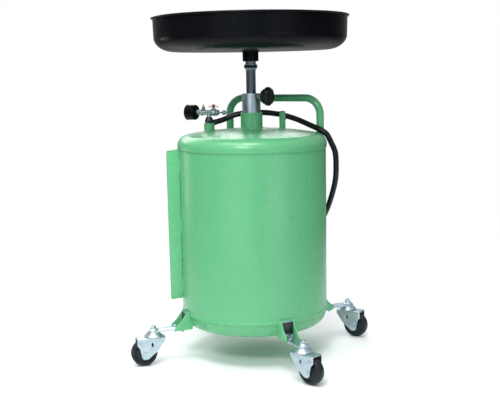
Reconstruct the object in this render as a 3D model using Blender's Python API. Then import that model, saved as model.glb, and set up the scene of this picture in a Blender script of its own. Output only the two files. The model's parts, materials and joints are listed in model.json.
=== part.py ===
"""Air-operated waste-oil drainer: a wheeled pressure tank with a telescopic drain bowl.

Units are metres and +Z is up. The tank's axis is the Z axis, the floor is Z = 0 and
the front of the drainer faces -Y. Angles round the tank are measured from +X.
"""
import math

import bmesh
import bpy
from mathutils import Matrix, Vector

GAP = 0.0003  # clearance between neighbouring pieces
LATHE_TO_X = Matrix.Rotation(math.radians(90), 4, "Y")
LATHE_TO_Y = Matrix.Rotation(math.radians(-90), 4, "X")

# Pressure tank
TANK_R = 0.210
TANK_WALL = 0.002
TANK_SEGMENTS = 40
SEAM_LOW = 0.129  # where the shell's lower edge laps the bottom head
SEAM_HIGH = 0.596  # lower edge of the top head's skirt
HEAD_WALL = 0.0022
HEAD_DISH = 0.046
HEAD_KNUCKLE = 0.030
SKIRT = 0.008
TOP_SKIRT_R = TANK_R + GAP + HEAD_WALL
LOW_SKIRT_R = TANK_R - TANK_WALL - 2 * GAP
TOP_TANGENT = SEAM_HIGH + SKIRT
LOW_TANGENT = SEAM_LOW - SKIRT
DOME_TOP = TOP_TANGENT + HEAD_DISH

# Mast, its guide and its clamp
TUBE_R = 0.0136
TUBE_BORE = 0.0108
TUBE_BOTTOM = 0.139
TUBE_TOP = 0.8283
SLEEVE_R = 0.026
SLEEVE_BORE = 0.0170
SLEEVE_BOTTOM = 0.628
SLEEVE_TOP = 0.748
BOSS_R = 0.031
BOSS_TOP = 0.694
STOP_RING_R = 0.0175
STOP_RING_HEIGHT = 0.012
CONE_BOTTOM = 0.8135
CONE_TOP = 0.8186
CONE_LOW_R = 0.0146
CONE_HIGH_R = 0.0174
UNION_NUT_R = 0.0192
UNION_NUT_TEETH = 16
NECK_R = 0.0150
SOCKET_R = 0.0225
SOCKET_BOTTOM = 0.8373
VENT_ANGLE = math.radians(221)
CLAMP_ANGLE = math.radians(-30)
CLAMP_Z = 0.7393
KNOB_NEAR = 0.0385
KNOB_FAR = 0.0638
KNOB_R = 0.0262
KNOB_LOBES = 8
SCREW_R = 0.0050

# Drain bowl
BOWL_BOTTOM = 0.8668
BOWL_RIM = 0.962
BOWL_WALL = 0.0016
BOWL_R = 0.2716
BOWL_RIM_R = 0.2765
BOWL_FLAT_R = 0.215
BOWL_CORNER = 0.040
BOWL_SEGMENTS = 40
BOWL_CORNER_STEPS = 4
DRAIN_R = 0.0108
STRAINER_R = 0.055
STRAINER_HEIGHT = 0.012

# Push handle, hose and hose hook
HANDLE_R = 0.0108
HANDLE_BEND = 0.048
HANDLE_Z = 0.7310
HANDLE_FOOT_1 = Vector((0.197, 0.030, 0.610))
HANDLE_FOOT_2 = Vector((-0.065, 0.178, 0.610))
HOOK_X = 0.090
HOOK_Y = 0.0675
HOOK_TOP = 0.694
HOOK_SEAT_Z = 0.6695  # upper face of the seat, just under the hose
HOOK_WIDTH = 0.018
HOOK_SHEET = 0.003
HOOK_SEAT_DEPTH = 0.022
HOOK_ANGLE = math.radians(-8)
HOSE_R = 0.0072
FERRULE_R = 0.0080
FERRULE_LENGTH = 0.012
NOZZLE_R = 0.0048
NOZZLE_LENGTH = 0.020
OUTLET_ANGLE = math.radians(45)
OUTLET_Z = 0.205
OUTLET_REACH = 0.241
OUTLET_RISE = 0.030
OUTLET_R = 0.0095

# Air valve group; its own X runs from the gauge to the air plug
VALVE_X = -0.122
VALVE_Y = 0.030
VALVE_Z = 0.695
VALVE_ANGLE = math.radians(-27)
BUNG_R = 0.015
BUNG_TOP = 0.665
TEE_R = 0.0088
TEE_START = -0.0260
TEE_END = 0.0065
BALL_VALVE_START = TEE_END + GAP
BALL_VALVE_END = 0.0255
BALL_VALVE_R = 0.0100
BALL_R = 0.0070
LEVER_X = 0.0155
LEVER_LENGTH = 0.032
LEVER_WIDTH = 0.011
RELIEF_X = -0.018
GAUGE_R = 0.0225
GAUGE_BACK = -0.0415
GAUGE_FACE = -0.0715
DIAL_X = -0.0665
NEEDLE_X = -0.0680
LENS_X = -0.0700

# Level gauge on the tank's side
SIGHT_ANGLE = math.radians(188)
SIGHT_PROUD = 0.2440  # outer face of the guard, from the tank's axis
SIGHT_HALF = 0.018
SIGHT_SHEET = 0.0016
SIGHT_LOW = 0.166
SIGHT_HIGH = 0.5900
SIGHT_DROP = 0.004  # how much lower the guard's outer edge ends
SIGHT_TUBE_RADIAL = 0.2275
SIGHT_TUBE_LOW = 0.212
SIGHT_TUBE_HIGH = 0.548
SIGHT_TUBE_R = 0.0058
SIGHT_TUBE_BORE = 0.0038
SIGHT_ELBOW_R = 0.0062
SIGHT_ELBOW_DROP = 0.018
WINDOW_HALF = 0.006

# Legs and casters
LEG_ANGLES = [math.radians(a) for a in (203.3, 293.3, 23.3, 113.3)]
CASTER_YAWS = [math.radians(a) for a in (198.0, -45.0, -33.0, 45.0)]
KINGPIN_RADIAL = 0.311
FIN_TOP = 0.142
FIN_BOTTOM = 0.091
FIN_REACH = 0.252
BRACKET_HALF = 0.020
BRACKET_SHEET = 0.003
ARM_HALF = 0.0167
ARM_BOTTOM = 0.0943
ARM_TOP = 0.0983
ARM_INNER = 0.203
ARM_UPSTAND = 0.2153
ARM_UPSTAND_TOP = 0.139
FORK_TOP = 0.0812
FORK_SHEET = 0.003
FORK_HALF = 0.0195
FORK_FRONT = 0.049
FORK_REAR = 0.034
TRAIL = 0.028
WHEEL_R = 0.0375
WHEEL_HALF = 0.012
WHEEL_SEGMENTS = 20
AXLE_R = 0.004
SWIVEL_R = 0.0050
SWIVEL_HOLE_R = 0.0056
PIN_TOP = 0.1135
NUT_TOP = 0.1108
NUT_R = 0.0078
NUT_BOTTOM = 0.1045
CAP_R = 0.0155
RACEWAY_R = 0.0260
RACEWAY_NECK_R = 0.0170
RIVET_R = 0.0090
AXLE_HEAD_R = 0.0062
RIVET_HEIGHT = 0.0024

FINISHES = {
    "green_paint": ((0.16, 0.47, 0.25), 0.32, 0.0),
    "black_enamel": ((0.010, 0.011, 0.014), 0.35, 0.0),
    "chrome": ((0.62, 0.64, 0.68), 0.12, 1.0),
    "zinc": ((0.60, 0.68, 0.74), 0.30, 1.0),
    "dark_steel": ((0.055, 0.065, 0.075), 0.40, 0.8),
    "black_plastic": ((0.012, 0.012, 0.013), 0.45, 0.0),
    "wheel_rubber": ((0.014, 0.015, 0.018), 0.50, 0.0),
    "rubber": ((0.014, 0.015, 0.018), 0.60, 0.0),
    "brass": ((0.52, 0.46, 0.30), 0.35, 1.0),
    "red_vinyl": ((0.42, 0.10, 0.09), 0.45, 0.0),
    "dial_white": ((0.80, 0.80, 0.78), 0.55, 0.0),
    "clear_plastic": ((0.85, 0.90, 0.88), 0.08, 0.0),
    "nylon": ((0.70, 0.69, 0.64), 0.50, 0.0),
}


def clear_scene():
    for old in list(bpy.data.objects):
        bpy.data.objects.remove(old, do_unlink=True)


def material(finish):
    found = bpy.data.materials.get(finish)
    if found:
        return found
    colour, roughness, metallic = FINISHES[finish]
    made = bpy.data.materials.new(finish)
    made.use_nodes = True
    shader = made.node_tree.nodes["Principled BSDF"]
    shader.inputs["Base Color"].default_value = (*colour, 1.0)
    shader.inputs["Roughness"].default_value = roughness
    shader.inputs["Metallic"].default_value = metallic
    return made


def place(name, mesh, finish, location=(0, 0, 0), turn=0.0, parent=None):
    piece = bpy.data.objects.new(name, mesh)
    bpy.context.scene.collection.objects.link(piece)
    if not mesh.materials:
        mesh.materials.append(material(finish))
    piece.location = location
    piece.rotation_euler = (0, 0, turn)
    piece.parent = parent
    return piece


def pivot(name, location, turn=0.0):
    empty = bpy.data.objects.new(name, None)
    bpy.context.scene.collection.objects.link(empty)
    empty.location = location
    empty.rotation_euler = (0, 0, turn)
    return empty


def finished(bm, name):
    bmesh.ops.recalc_face_normals(bm, faces=bm.faces)
    mesh = bpy.data.meshes.new(name)
    bm.to_mesh(mesh)
    bm.free()
    mesh.shade_smooth()
    mesh.set_sharp_from_angle(angle=math.radians(35))
    return mesh


def polar(radius, angle, z=0.0):
    return Vector((radius * math.cos(angle), radius * math.sin(angle), z))


def arc(centre, radius, start, end, steps):
    """Points (across, up) on an arc; angles in degrees."""
    points = []
    for i in range(steps + 1):
        a = math.radians(start + (end - start) * i / steps)
        points.append((centre[0] + radius * math.cos(a), centre[1] + radius * math.sin(a)))
    return points


def turned(name, profile, segments=24, ring=False, half_step=False):
    """Solid of revolution about Z from (radius, z) points; a ring's profile closes on itself."""
    bm = bmesh.new()
    verts = [bm.verts.new((r, 0, z)) for r, z in profile]
    pairs = list(zip(verts, verts[1:]))
    if ring:
        pairs.append((verts[-1], verts[0]))
    edges = [bm.edges.new(pair) for pair in pairs]
    if half_step:
        spun = Matrix.Rotation(math.pi / segments, 3, "Z")
        bmesh.ops.rotate(bm, verts=verts, cent=(0, 0, 0), matrix=spun)
    bmesh.ops.spin(bm, geom=verts + edges, cent=(0, 0, 0), axis=(0, 0, 1),
                   angle=2 * math.pi, steps=segments, use_merge=True)
    bmesh.ops.remove_doubles(bm, verts=bm.verts, dist=1e-6)
    return finished(bm, name)


def prism(name, outline, depth, chamfer=0.0):
    """Outline in XY, extruded up Z from 0 to depth, with both rims chamfered inward."""
    bm = bmesh.new()
    face = bm.faces.new([bm.verts.new((x, y, 0)) for x, y in outline])
    grown = bmesh.ops.extrude_face_region(bm, geom=[face])["geom"]
    lifted = [v for v in grown if isinstance(v, bmesh.types.BMVert)]
    bmesh.ops.translate(bm, verts=lifted, vec=(0, 0, depth))
    if chamfer:
        rims = [e for e in bm.edges if abs(e.verts[0].co.z - e.verts[1].co.z) < 1e-9]
        bmesh.ops.bevel(bm, geom=rims, offset=chamfer, segments=1, affect="EDGES")
    return finished(bm, name)


def upright(mesh, depth):
    """Stand a prism on edge: its outline's (x, y) become (x, z), centred across Y."""
    mesh.transform(Matrix.Translation((0, depth / 2, 0)) @ Matrix.Rotation(math.radians(90), 4, "X"))
    return mesh


def slab(name, outline, width):
    return upright(prism(name, outline, width), width)


def box(name, low, high):
    outline = [(low[0], low[1]), (high[0], low[1]), (high[0], high[1]), (low[0], high[1])]
    mesh = prism(name, outline, high[2] - low[2])
    mesh.transform(Matrix.Translation((0, 0, low[2])))
    return mesh


def rod(name, radius, low, high, segments=16):
    return turned(name, [(0, high), (radius, high), (radius, low), (0, low)], segments)


def smooth_path(points, per_span=4):
    """Catmull-Rom curve through the points."""
    ends = [2 * points[0] - points[1], *points, 2 * points[-1] - points[-2]]
    path = []
    for a, b, c, d in zip(ends, ends[1:], ends[2:], ends[3:]):
        for i in range(per_span):
            t = i / per_span
            path.append(0.5 * (2 * b + (c - a) * t + (2 * a - 5 * b + 4 * c - d) * t * t
                               + (3 * b - a - 3 * c + d) * t ** 3))
    path.append(points[-1])
    return path


def rounded_path(corners, radius, steps=6):
    """Straight runs joined by arcs of one radius at each inner corner."""
    path = [corners[0]]
    for before, corner, after in zip(corners, corners[1:], corners[2:]):
        back = (before - corner).normalized()
        ahead = (after - corner).normalized()
        half = back.angle(ahead) / 2
        centre = corner + (back + ahead).normalized() * (radius / math.sin(half))
        start = corner + back * (radius / math.tan(half)) - centre
        axis = back.cross(ahead).normalized()
        sweep = -(math.pi - 2 * half)
        for i in range(steps + 1):
            path.append(centre + Matrix.Rotation(sweep * i / steps, 3, axis) @ start)
    path.append(corners[-1])
    return path


def swept(name, path, radius, sides=12):
    """Round bar along a path, with flat ends."""
    bm = bmesh.new()
    side = Vector((0, 0, 1)).cross(path[1] - path[0])
    if side.length < 1e-6:
        side = Vector((1, 0, 0))
    rings = []
    for i, point in enumerate(path):
        along = (path[min(i + 1, len(path) - 1)] - path[max(i - 1, 0)]).normalized()
        side = (side - along * side.dot(along)).normalized()
        other = along.cross(side)
        rings.append([bm.verts.new(point + radius * (math.cos(a) * side + math.sin(a) * other))
                      for a in (2 * math.pi * k / sides for k in range(sides))])
    for near, far in zip(rings, rings[1:]):
        for k in range(sides):
            j = (k + 1) % sides
            bm.faces.new((near[k], near[j], far[j], far[k]))
    bm.faces.new(rings[0])
    bm.faces.new(rings[-1])
    return finished(bm, name)


def shaped(name, base, tools, operation="DIFFERENCE"):
    """Base mesh with each tool mesh cut from it, or joined to it."""
    body = bpy.data.objects.new(name, base)
    bpy.context.scene.collection.objects.link(body)
    helpers = [body]
    for mesh in tools:
        helper = bpy.data.objects.new(name + "_tool", mesh)
        helper.hide_render = True
        helper.display_type = "WIRE"
        bpy.context.scene.collection.objects.link(helper)
        cut = body.modifiers.new("shape", "BOOLEAN")
        cut.operation = operation
        cut.solver = "EXACT"
        cut.object = helper
        helpers.append(helper)
    graph = bpy.context.evaluated_depsgraph_get()
    mesh = bpy.data.meshes.new_from_object(body.evaluated_get(graph))
    mesh.name = name
    for helper in helpers:
        bpy.data.objects.remove(helper, do_unlink=True)
    mesh.shade_smooth()
    mesh.set_sharp_from_angle(angle=math.radians(35))
    return mesh


def head_curve(skirt_r, offset, inner_r, steps=3):
    """Dished head above its tangent line at z = 0, from inner_r out to the skirt."""
    centre_r = skirt_r - HEAD_KNUCKLE
    crown = (centre_r ** 2 + HEAD_DISH ** 2 - HEAD_KNUCKLE ** 2) / (2 * (HEAD_DISH - HEAD_KNUCKLE))
    crown_z = HEAD_DISH - crown
    meet = math.atan2(-crown_z, centre_r)
    points = []
    for i in range(steps):
        r = inner_r + ((crown + offset) * math.cos(meet) - inner_r) * i / steps
        points.append((r, crown_z + math.sqrt((crown + offset) ** 2 - r * r)))
    return points + arc((centre_r, 0), HEAD_KNUCKLE + offset, math.degrees(meet), 0, steps)


def dome_blank():
    """Everything below the top head's outer face, a gap proud of it."""
    curve = [(r, z + TOP_TANGENT) for r, z in head_curve(TOP_SKIRT_R, GAP, 0.0)]
    curve += [(TOP_SKIRT_R + GAP, SEAM_HIGH - 0.05), (0, SEAM_HIGH - 0.05)]
    return turned("dome_blank", curve, TANK_SEGMENTS)


def tank():
    bead = 0.0015
    shell = [(TANK_R - TANK_WALL, TOP_TANGENT - 0.001), (TANK_R, TOP_TANGENT - 0.001),
             (TANK_R, SEAM_LOW + 0.007), (TANK_R + bead, SEAM_LOW + 0.004),
             (TANK_R + bead, SEAM_LOW + 0.001), (TANK_R, SEAM_LOW),
             (TANK_R - TANK_WALL, SEAM_LOW)]
    place("tank_shell", turned("tank_shell", shell, TANK_SEGMENTS, ring=True), "green_paint")

    hole = SLEEVE_R + 2 * GAP
    outer = [(r, z + TOP_TANGENT) for r, z in head_curve(TOP_SKIRT_R, 0.0, hole)]
    inner = [(r, z + TOP_TANGENT) for r, z in head_curve(TOP_SKIRT_R, -HEAD_WALL, hole)]
    skirt = [(TOP_SKIRT_R, SEAM_HIGH), (TOP_SKIRT_R - HEAD_WALL, SEAM_HIGH)]
    head = turned("tank_top_head", outer + skirt + inner[::-1], TANK_SEGMENTS, ring=True)
    place("tank_top_head", head, "green_paint")

    outer = [(r, LOW_TANGENT - z) for r, z in head_curve(LOW_SKIRT_R, 0.0, 0.0)]
    inner = [(r, LOW_TANGENT - z) for r, z in head_curve(LOW_SKIRT_R, -HEAD_WALL, 0.0)]
    lip = SEAM_LOW + 0.012
    skirt = [(LOW_SKIRT_R - HEAD_WALL, lip), (LOW_SKIRT_R, lip)]
    head = turned("tank_bottom_head", inner + skirt + outer[::-1], TANK_SEGMENTS)
    place("tank_bottom_head", head, "green_paint")


def mast_guide():
    inner = SLEEVE_R + GAP
    boss = [(inner, BOSS_TOP), (BOSS_R - 0.001, BOSS_TOP), (BOSS_R, BOSS_TOP - 0.001),
            (BOSS_R, DOME_TOP + GAP), (inner, DOME_TOP + GAP)]
    place("mast_boss", turned("mast_boss", boss, 24, ring=True), "green_paint")

    sleeve = [(SLEEVE_BORE, SLEEVE_TOP), (SLEEVE_R - 0.0012, SLEEVE_TOP),
              (SLEEVE_R, SLEEVE_TOP - 0.0012), (SLEEVE_R, SLEEVE_BOTTOM),
              (SLEEVE_BORE, SLEEVE_BOTTOM)]
    nut = rod("clamp_nut", 0.009, SLEEVE_R - 0.004, SLEEVE_R + 0.008)
    nut.transform(clamp_frame())
    screw_hole = rod("screw_hole", SCREW_R + GAP, SLEEVE_BORE - 0.008, SLEEVE_R + 0.02)
    screw_hole.transform(clamp_frame())
    vent = rod("vent", 0.0025, SLEEVE_R - 0.004, SLEEVE_R + 0.004, 12)
    vent.transform(Matrix.Translation((0, 0, SLEEVE_TOP - 0.0065))
                   @ Matrix.Rotation(VENT_ANGLE, 4, "Z") @ LATHE_TO_X)
    body = turned("guide_sleeve", sleeve, 24, ring=True)
    body = shaped("guide_sleeve", body, [nut], "UNION")
    place("guide_sleeve", shaped("guide_sleeve", body, [screw_hole, vent]), "zinc")

    inner = TUBE_R + GAP
    outer = SLEEVE_BORE - GAP
    bush = [(inner, SLEEVE_TOP - 0.001), (outer, SLEEVE_TOP - 0.001),
            (outer, SLEEVE_BOTTOM + 0.004), (inner, SLEEVE_BOTTOM + 0.004)]
    body = turned("guide_bush", bush, 18, ring=True)
    screw_hole = rod("bush_hole", SCREW_R + GAP, TUBE_R - 0.002, SLEEVE_R)
    screw_hole.transform(clamp_frame())
    place("guide_bush", shaped("guide_bush", body, [screw_hole]), "nylon")


def clamp_frame():
    """Frame whose Z runs out along the clamp screw from the mast's axis."""
    return (Matrix.Translation((0, 0, CLAMP_Z)) @ Matrix.Rotation(CLAMP_ANGLE, 4, "Z") @ LATHE_TO_X)


def clamp():
    centre = (0, 0, CLAMP_Z)
    screw = rod("clamp_screw", SCREW_R, TUBE_R + GAP, KNOB_NEAR - GAP)
    screw.transform(LATHE_TO_X)
    place("clamp_screw", screw, "zinc", centre, CLAMP_ANGLE)

    outline = []
    for i in range(4 * KNOB_LOBES):
        a = 2 * math.pi * i / (4 * KNOB_LOBES)
        r = KNOB_R - 0.0013 * (1 - math.cos(KNOB_LOBES * a))
        outline.append((r * math.cos(a), r * math.sin(a)))
    knob = prism("clamp_knob", outline, KNOB_FAR - KNOB_NEAR, chamfer=0.003)
    knob.transform(LATHE_TO_X @ Matrix.Translation((0, 0, KNOB_NEAR)))
    place("clamp_knob", knob, "black_plastic", centre, CLAMP_ANGLE)


def mast():
    tube = [(TUBE_BORE, TUBE_TOP), (TUBE_R, TUBE_TOP), (TUBE_R, TUBE_BOTTOM), (TUBE_BORE, TUBE_BOTTOM)]
    place("mast_tube", turned("mast_tube", tube, 20, ring=True), "chrome")

    inner = TUBE_R + GAP
    stop_top = TUBE_BOTTOM + STOP_RING_HEIGHT
    stop = [(inner, stop_top), (STOP_RING_R, stop_top), (STOP_RING_R, TUBE_BOTTOM), (inner, TUBE_BOTTOM)]
    place("mast_stop_ring", turned("mast_stop_ring", stop, 16, ring=True), "zinc")

    cone = [(inner, CONE_TOP), (CONE_HIGH_R, CONE_TOP), (CONE_LOW_R, CONE_BOTTOM), (inner, CONE_BOTTOM)]
    place("mast_cone", turned("mast_cone", cone, 20, ring=True), "zinc")

    outline = []
    for i in range(2 * UNION_NUT_TEETH):
        a = math.pi * i / UNION_NUT_TEETH
        r = UNION_NUT_R if i % 2 else UNION_NUT_R - 0.0010
        outline.append((r * math.cos(a), r * math.sin(a)))
    height = TUBE_TOP - CONE_TOP - GAP
    nut = prism("union_nut", outline, height, chamfer=0.0008)
    bore = rod("nut_bore", inner, -0.01, height + 0.01, 24)
    place("union_nut", shaped("union_nut", nut, [bore]), "dark_steel", (0, 0, CONE_TOP + GAP))


def bowl():
    low = TUBE_TOP + GAP
    high = SOCKET_BOTTOM - GAP
    neck = [(TUBE_BORE, high), (NECK_R, high), (NECK_R, low), (TUBE_BORE, low)]
    place("bowl_neck", turned("bowl_neck", neck, 16, ring=True), "zinc")

    top = BOWL_BOTTOM - GAP
    socket = [(TUBE_BORE, top), (SOCKET_R, top), (SOCKET_R, SOCKET_BOTTOM + 0.001),
              (SOCKET_R - 0.001, SOCKET_BOTTOM), (TUBE_BORE, SOCKET_BOTTOM)]
    place("bowl_socket", turned("bowl_socket", socket, 20, ring=True), "black_enamel")
    place("drain_bowl", turned("drain_bowl", bowl_profile(), BOWL_SEGMENTS, ring=True), "black_enamel")
    place("bowl_strainer", strainer(), "black_enamel")


def bowl_profile():
    """Flat bottom, elliptic corner, near-upright wall and a rolled rim."""
    flat_z = BOWL_BOTTOM + BOWL_CORNER
    reach = BOWL_R - 0.0015 - BOWL_FLAT_R
    outer = [(DRAIN_R, BOWL_BOTTOM)]
    inner = [(DRAIN_R, BOWL_BOTTOM + BOWL_WALL)]
    for i in range(BOWL_CORNER_STEPS + 1):
        a = math.radians(90 * i / BOWL_CORNER_STEPS)
        outer.append((BOWL_FLAT_R + reach * math.sin(a), flat_z - BOWL_CORNER * math.cos(a)))
        inner.append((BOWL_FLAT_R + (reach - BOWL_WALL) * math.sin(a),
                      flat_z - (BOWL_CORNER - BOWL_WALL) * math.cos(a)))
    rim_low = BOWL_RIM - 0.006
    outer += [(BOWL_R, rim_low), (BOWL_RIM_R, rim_low + 0.001),
              (BOWL_RIM_R, BOWL_RIM - 0.001), (BOWL_RIM_R - 0.001, BOWL_RIM)]
    inner.append((BOWL_R - BOWL_WALL, BOWL_RIM))
    return outer + inner[::-1]


def strainer():
    low = BOWL_BOTTOM + BOWL_WALL + GAP
    top = low + STRAINER_HEIGHT
    profile = [(0, top), (STRAINER_R - 0.006, top), (STRAINER_R, top - 0.006), (STRAINER_R, low),
               (STRAINER_R - 0.0012, low), (STRAINER_R - 0.0012, top - 0.007),
               (STRAINER_R - 0.007, top - 0.0012), (0, top - 0.0012)]
    cup = turned("bowl_strainer", profile, 24)
    slots = []
    for k in range(6):
        slot = box("slot", (0.035, -0.006, low - 0.01), (STRAINER_R + 0.01, 0.006, low + 0.003))
        slot.transform(Matrix.Rotation(math.radians(60 * k + 7.5), 4, "Z"))
        slots.append(slot)
    return shaped("bowl_strainer", cup, slots)


def push_handle():
    foot_1, foot_2 = HANDLE_FOOT_1, HANDLE_FOOT_2
    corners = [foot_1, Vector((foot_1.x, foot_1.y, HANDLE_Z)),
               Vector((foot_2.x, foot_2.y, HANDLE_Z)), foot_2]
    bar = swept("push_handle", rounded_path(corners, HANDLE_BEND), HANDLE_R, 12)
    place("push_handle", shaped("push_handle", bar, [dome_blank()]), "green_paint")


def hose_hook():
    """Upright tab with a rounded top and a seat behind it that carries the hose."""
    half = HOOK_WIDTH / 2
    foot = DOME_TOP - 0.02
    outline = [(-half, foot), (half, foot), *arc((half - 0.004, HOOK_TOP - 0.004), 0.004, 0, 90, 3),
               *arc((0.004 - half, HOOK_TOP - 0.004), 0.004, 90, 180, 3)]
    tab = slab("hook_tab", outline, HOOK_SHEET)
    seat_low = HOOK_SEAT_Z - HOOK_SHEET
    depth = HOOK_SEAT_DEPTH
    seat = box("hook_seat", (-half, 0, seat_low), (half, depth, HOOK_SEAT_Z))
    lip = box("hook_lip", (-half, depth - 0.0025, seat_low), (half, depth, HOOK_SEAT_Z + 0.006))
    hook = shaped("hose_hook", tab, [seat, lip], "UNION")
    hook.transform(Matrix.Translation((HOOK_X, HOOK_Y, 0)) @ Matrix.Rotation(HOOK_ANGLE, 4, "Z"))
    place("hose_hook", shaped("hose_hook", hook, [dome_blank()]), "green_paint")


def hose():
    """From its loose end by the valve, over the hook and down round the tank to the outlet."""
    start = Vector((-0.108, 0.055, 0.6615))
    top = polar(OUTLET_REACH, OUTLET_ANGLE, OUTLET_Z + OUTLET_RISE + GAP)
    run = [start, Vector((-0.070, 0.055, 0.6790)), Vector((-0.033, 0.055, 0.6885)),
           Vector((0.031, 0.060, 0.6905)), Vector((0.069, 0.075, 0.6860)),
           Vector((0.093, 0.0805, 0.6812)), Vector((0.132, 0.062, 0.6690)),
           Vector((0.168, 0.030, 0.6535)), Vector((0.193, 0.010, 0.6425)),
           Vector((0.2130, 0.003, 0.6290)), Vector((0.2255, 0.000, 0.6050)),
           Vector((0.2370, 0.000, 0.5770)), Vector((0.2400, 0.005, 0.5390)),
           Vector((0.2395, 0.015, 0.5005)), Vector((0.2340, 0.030, 0.4640)),
           Vector((0.2230, 0.060, 0.4150)), Vector((0.2110, 0.092, 0.3770)),
           Vector((0.1900, 0.135, 0.3250)), top + Vector((0, 0, 0.045)), top + Vector((0, 0, 0.020))]
    line = swept("discharge_hose", [*smooth_path(run, 2), top], HOSE_R, 8)
    place("discharge_hose", line, "rubber")

    back = (run[0] - run[1]).normalized()
    ferrule = swept("hose_end", [start + back * GAP, start + back * FERRULE_LENGTH], FERRULE_R, 12)
    nozzle = swept("hose_nozzle", [start + back * 0.002, start + back * NOZZLE_LENGTH], NOZZLE_R, 12)
    place("hose_end", shaped("hose_end", ferrule, [nozzle], "UNION"), "dark_steel")


def outlet_elbow():
    """Screwed elbow low on the tank's rear, where the discharge hose starts."""
    radial = polar(1.0, OUTLET_ANGLE)
    corners = [radial * (TANK_R + GAP) + Vector((0, 0, OUTLET_Z)),
               radial * OUTLET_REACH + Vector((0, 0, OUTLET_Z)),
               radial * OUTLET_REACH + Vector((0, 0, OUTLET_Z + OUTLET_RISE))]
    elbow = swept("outlet_elbow", rounded_path(corners, 0.012, 4), OUTLET_R, 12)
    place("outlet_elbow", elbow, "dark_steel")


def valve_group():
    group = pivot("valve_frame", (VALVE_X, VALVE_Y, VALVE_Z), VALVE_ANGLE)
    bung = rod("valve_bung", BUNG_R, DOME_TOP - 0.03, BUNG_TOP, 20)
    bung.transform(Matrix.Translation((VALVE_X, VALVE_Y, 0)))
    place("valve_bung", shaped("valve_bung", bung, [dome_blank()]), "green_paint")
    air_tee(group)
    ball_valve(group)
    relief_valve(group)
    air_plug(group)
    gauge(group)


def air_tee(group):
    run = rod("air_tee", TEE_R, TEE_START, TEE_END, 14)
    run.transform(LATHE_TO_X)
    drop = BUNG_TOP + GAP - VALVE_Z
    branch = turned("tee_branch", [(0, 0), (0.0062, 0), (0.0062, drop + 0.0180), (0.0084, drop + 0.0165),
                                   (0.0125, drop + 0.0085), (0.0125, drop), (0, drop)], 14)
    body = shaped("air_tee", run, [branch], "UNION")
    bore = rod("tee_bore", 0.0040, TEE_START - 0.01, TEE_END + 0.01, 8)
    bore.transform(LATHE_TO_X)
    riser_bore = rod("riser_bore", 0.0038, drop - 0.01, 0.002, 8)
    place("air_tee", shaped("air_tee", body, [bore, riser_bore]), "zinc", parent=group)


def ball_valve(group):
    bore_r = BALL_R + GAP
    ring = [(bore_r, BALL_VALVE_START), (bore_r, BALL_VALVE_END), (BALL_VALVE_R, BALL_VALVE_END),
            (BALL_VALVE_R, BALL_VALVE_START)]
    body = turned("valve_body", ring, 16, ring=True)
    body.transform(LATHE_TO_X)
    bonnet = rod("bonnet", 0.0052, 0.0085, 0.0125, 12)
    bonnet.transform(Matrix.Translation((LEVER_X, 0, 0)))
    body = shaped("valve_body", body, [bonnet], "UNION")
    stem_hole = rod("stem_hole", 0.0031, 0.004, 0.02, 8)
    stem_hole.transform(Matrix.Translation((LEVER_X, 0, 0)))
    place("valve_body", shaped("valve_body", body, [stem_hole]), "zinc", parent=group)

    profile = arc((0, 0), BALL_R, 90, -90, 6)
    profile[0] = (0, BALL_R)
    profile[-1] = (0, -BALL_R)
    ball = turned("valve_ball", profile, 12)
    bore = rod("ball_bore", 0.0038, -0.02, 0.02, 8)
    bore.transform(LATHE_TO_X)
    place("valve_ball", shaped("valve_ball", ball, [bore]), "chrome", (LEVER_X, 0, 0), parent=group)
    place("valve_lever", butterfly(), "red_vinyl", (LEVER_X, 0, 0), parent=group)


def butterfly():
    """Arched two-winged lever on its stem; it lies along the pipe when the valve is open."""
    half = LEVER_LENGTH / 2
    crest = 0.0200
    droop = 0.0035
    sheet = 0.0022
    top = []
    for i in range(9):
        x = half * (i / 4 - 1)
        top.append((x, crest - droop * (x / half) ** 2))
    under = [(x, z - sheet) for x, z in top[::-1]]
    wings = slab("valve_lever", top + under, LEVER_WIDTH)
    stem = turned("lever_stem", [(0, crest - 0.0015), (0.0050, crest - 0.0015), (0.0050, 0.0130),
                                 (0.0028, 0.0130), (0.0028, BALL_R + 0.0005), (0, BALL_R + 0.0005)], 16)
    return shaped("valve_lever", wings, [stem], "UNION")


def relief_valve(group):
    low = TEE_R + GAP
    profile = [(0, low + 0.0135), (0.0016, low + 0.0135), (0.0022, low + 0.0095), (0.0042, low + 0.0065),
               (0.0050, low + 0.0030), (0.0050, low), (0, low)]
    place("relief_valve", turned("relief_valve", profile, 16), "brass", (RELIEF_X, 0, 0), parent=group)


def air_plug(group):
    bore = 0.0015
    start = BALL_VALVE_END + GAP
    steps = [(0.0080, 0.0045), (0.0028, 0.0150), (0.0072, 0.0065), (0.0045, 0.0050),
             (0.0033, 0.0025), (0.0046, 0.0035)]
    profile = [(bore, start)]
    x = start
    for radius, length in steps:
        profile += [(radius, x), (radius, x + length)]
        x += length
    profile.append((bore, x))
    plug = turned("air_plug", profile, 12, ring=True)
    plug.transform(LATHE_TO_X)
    place("air_plug", plug, "zinc", parent=group)


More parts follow.
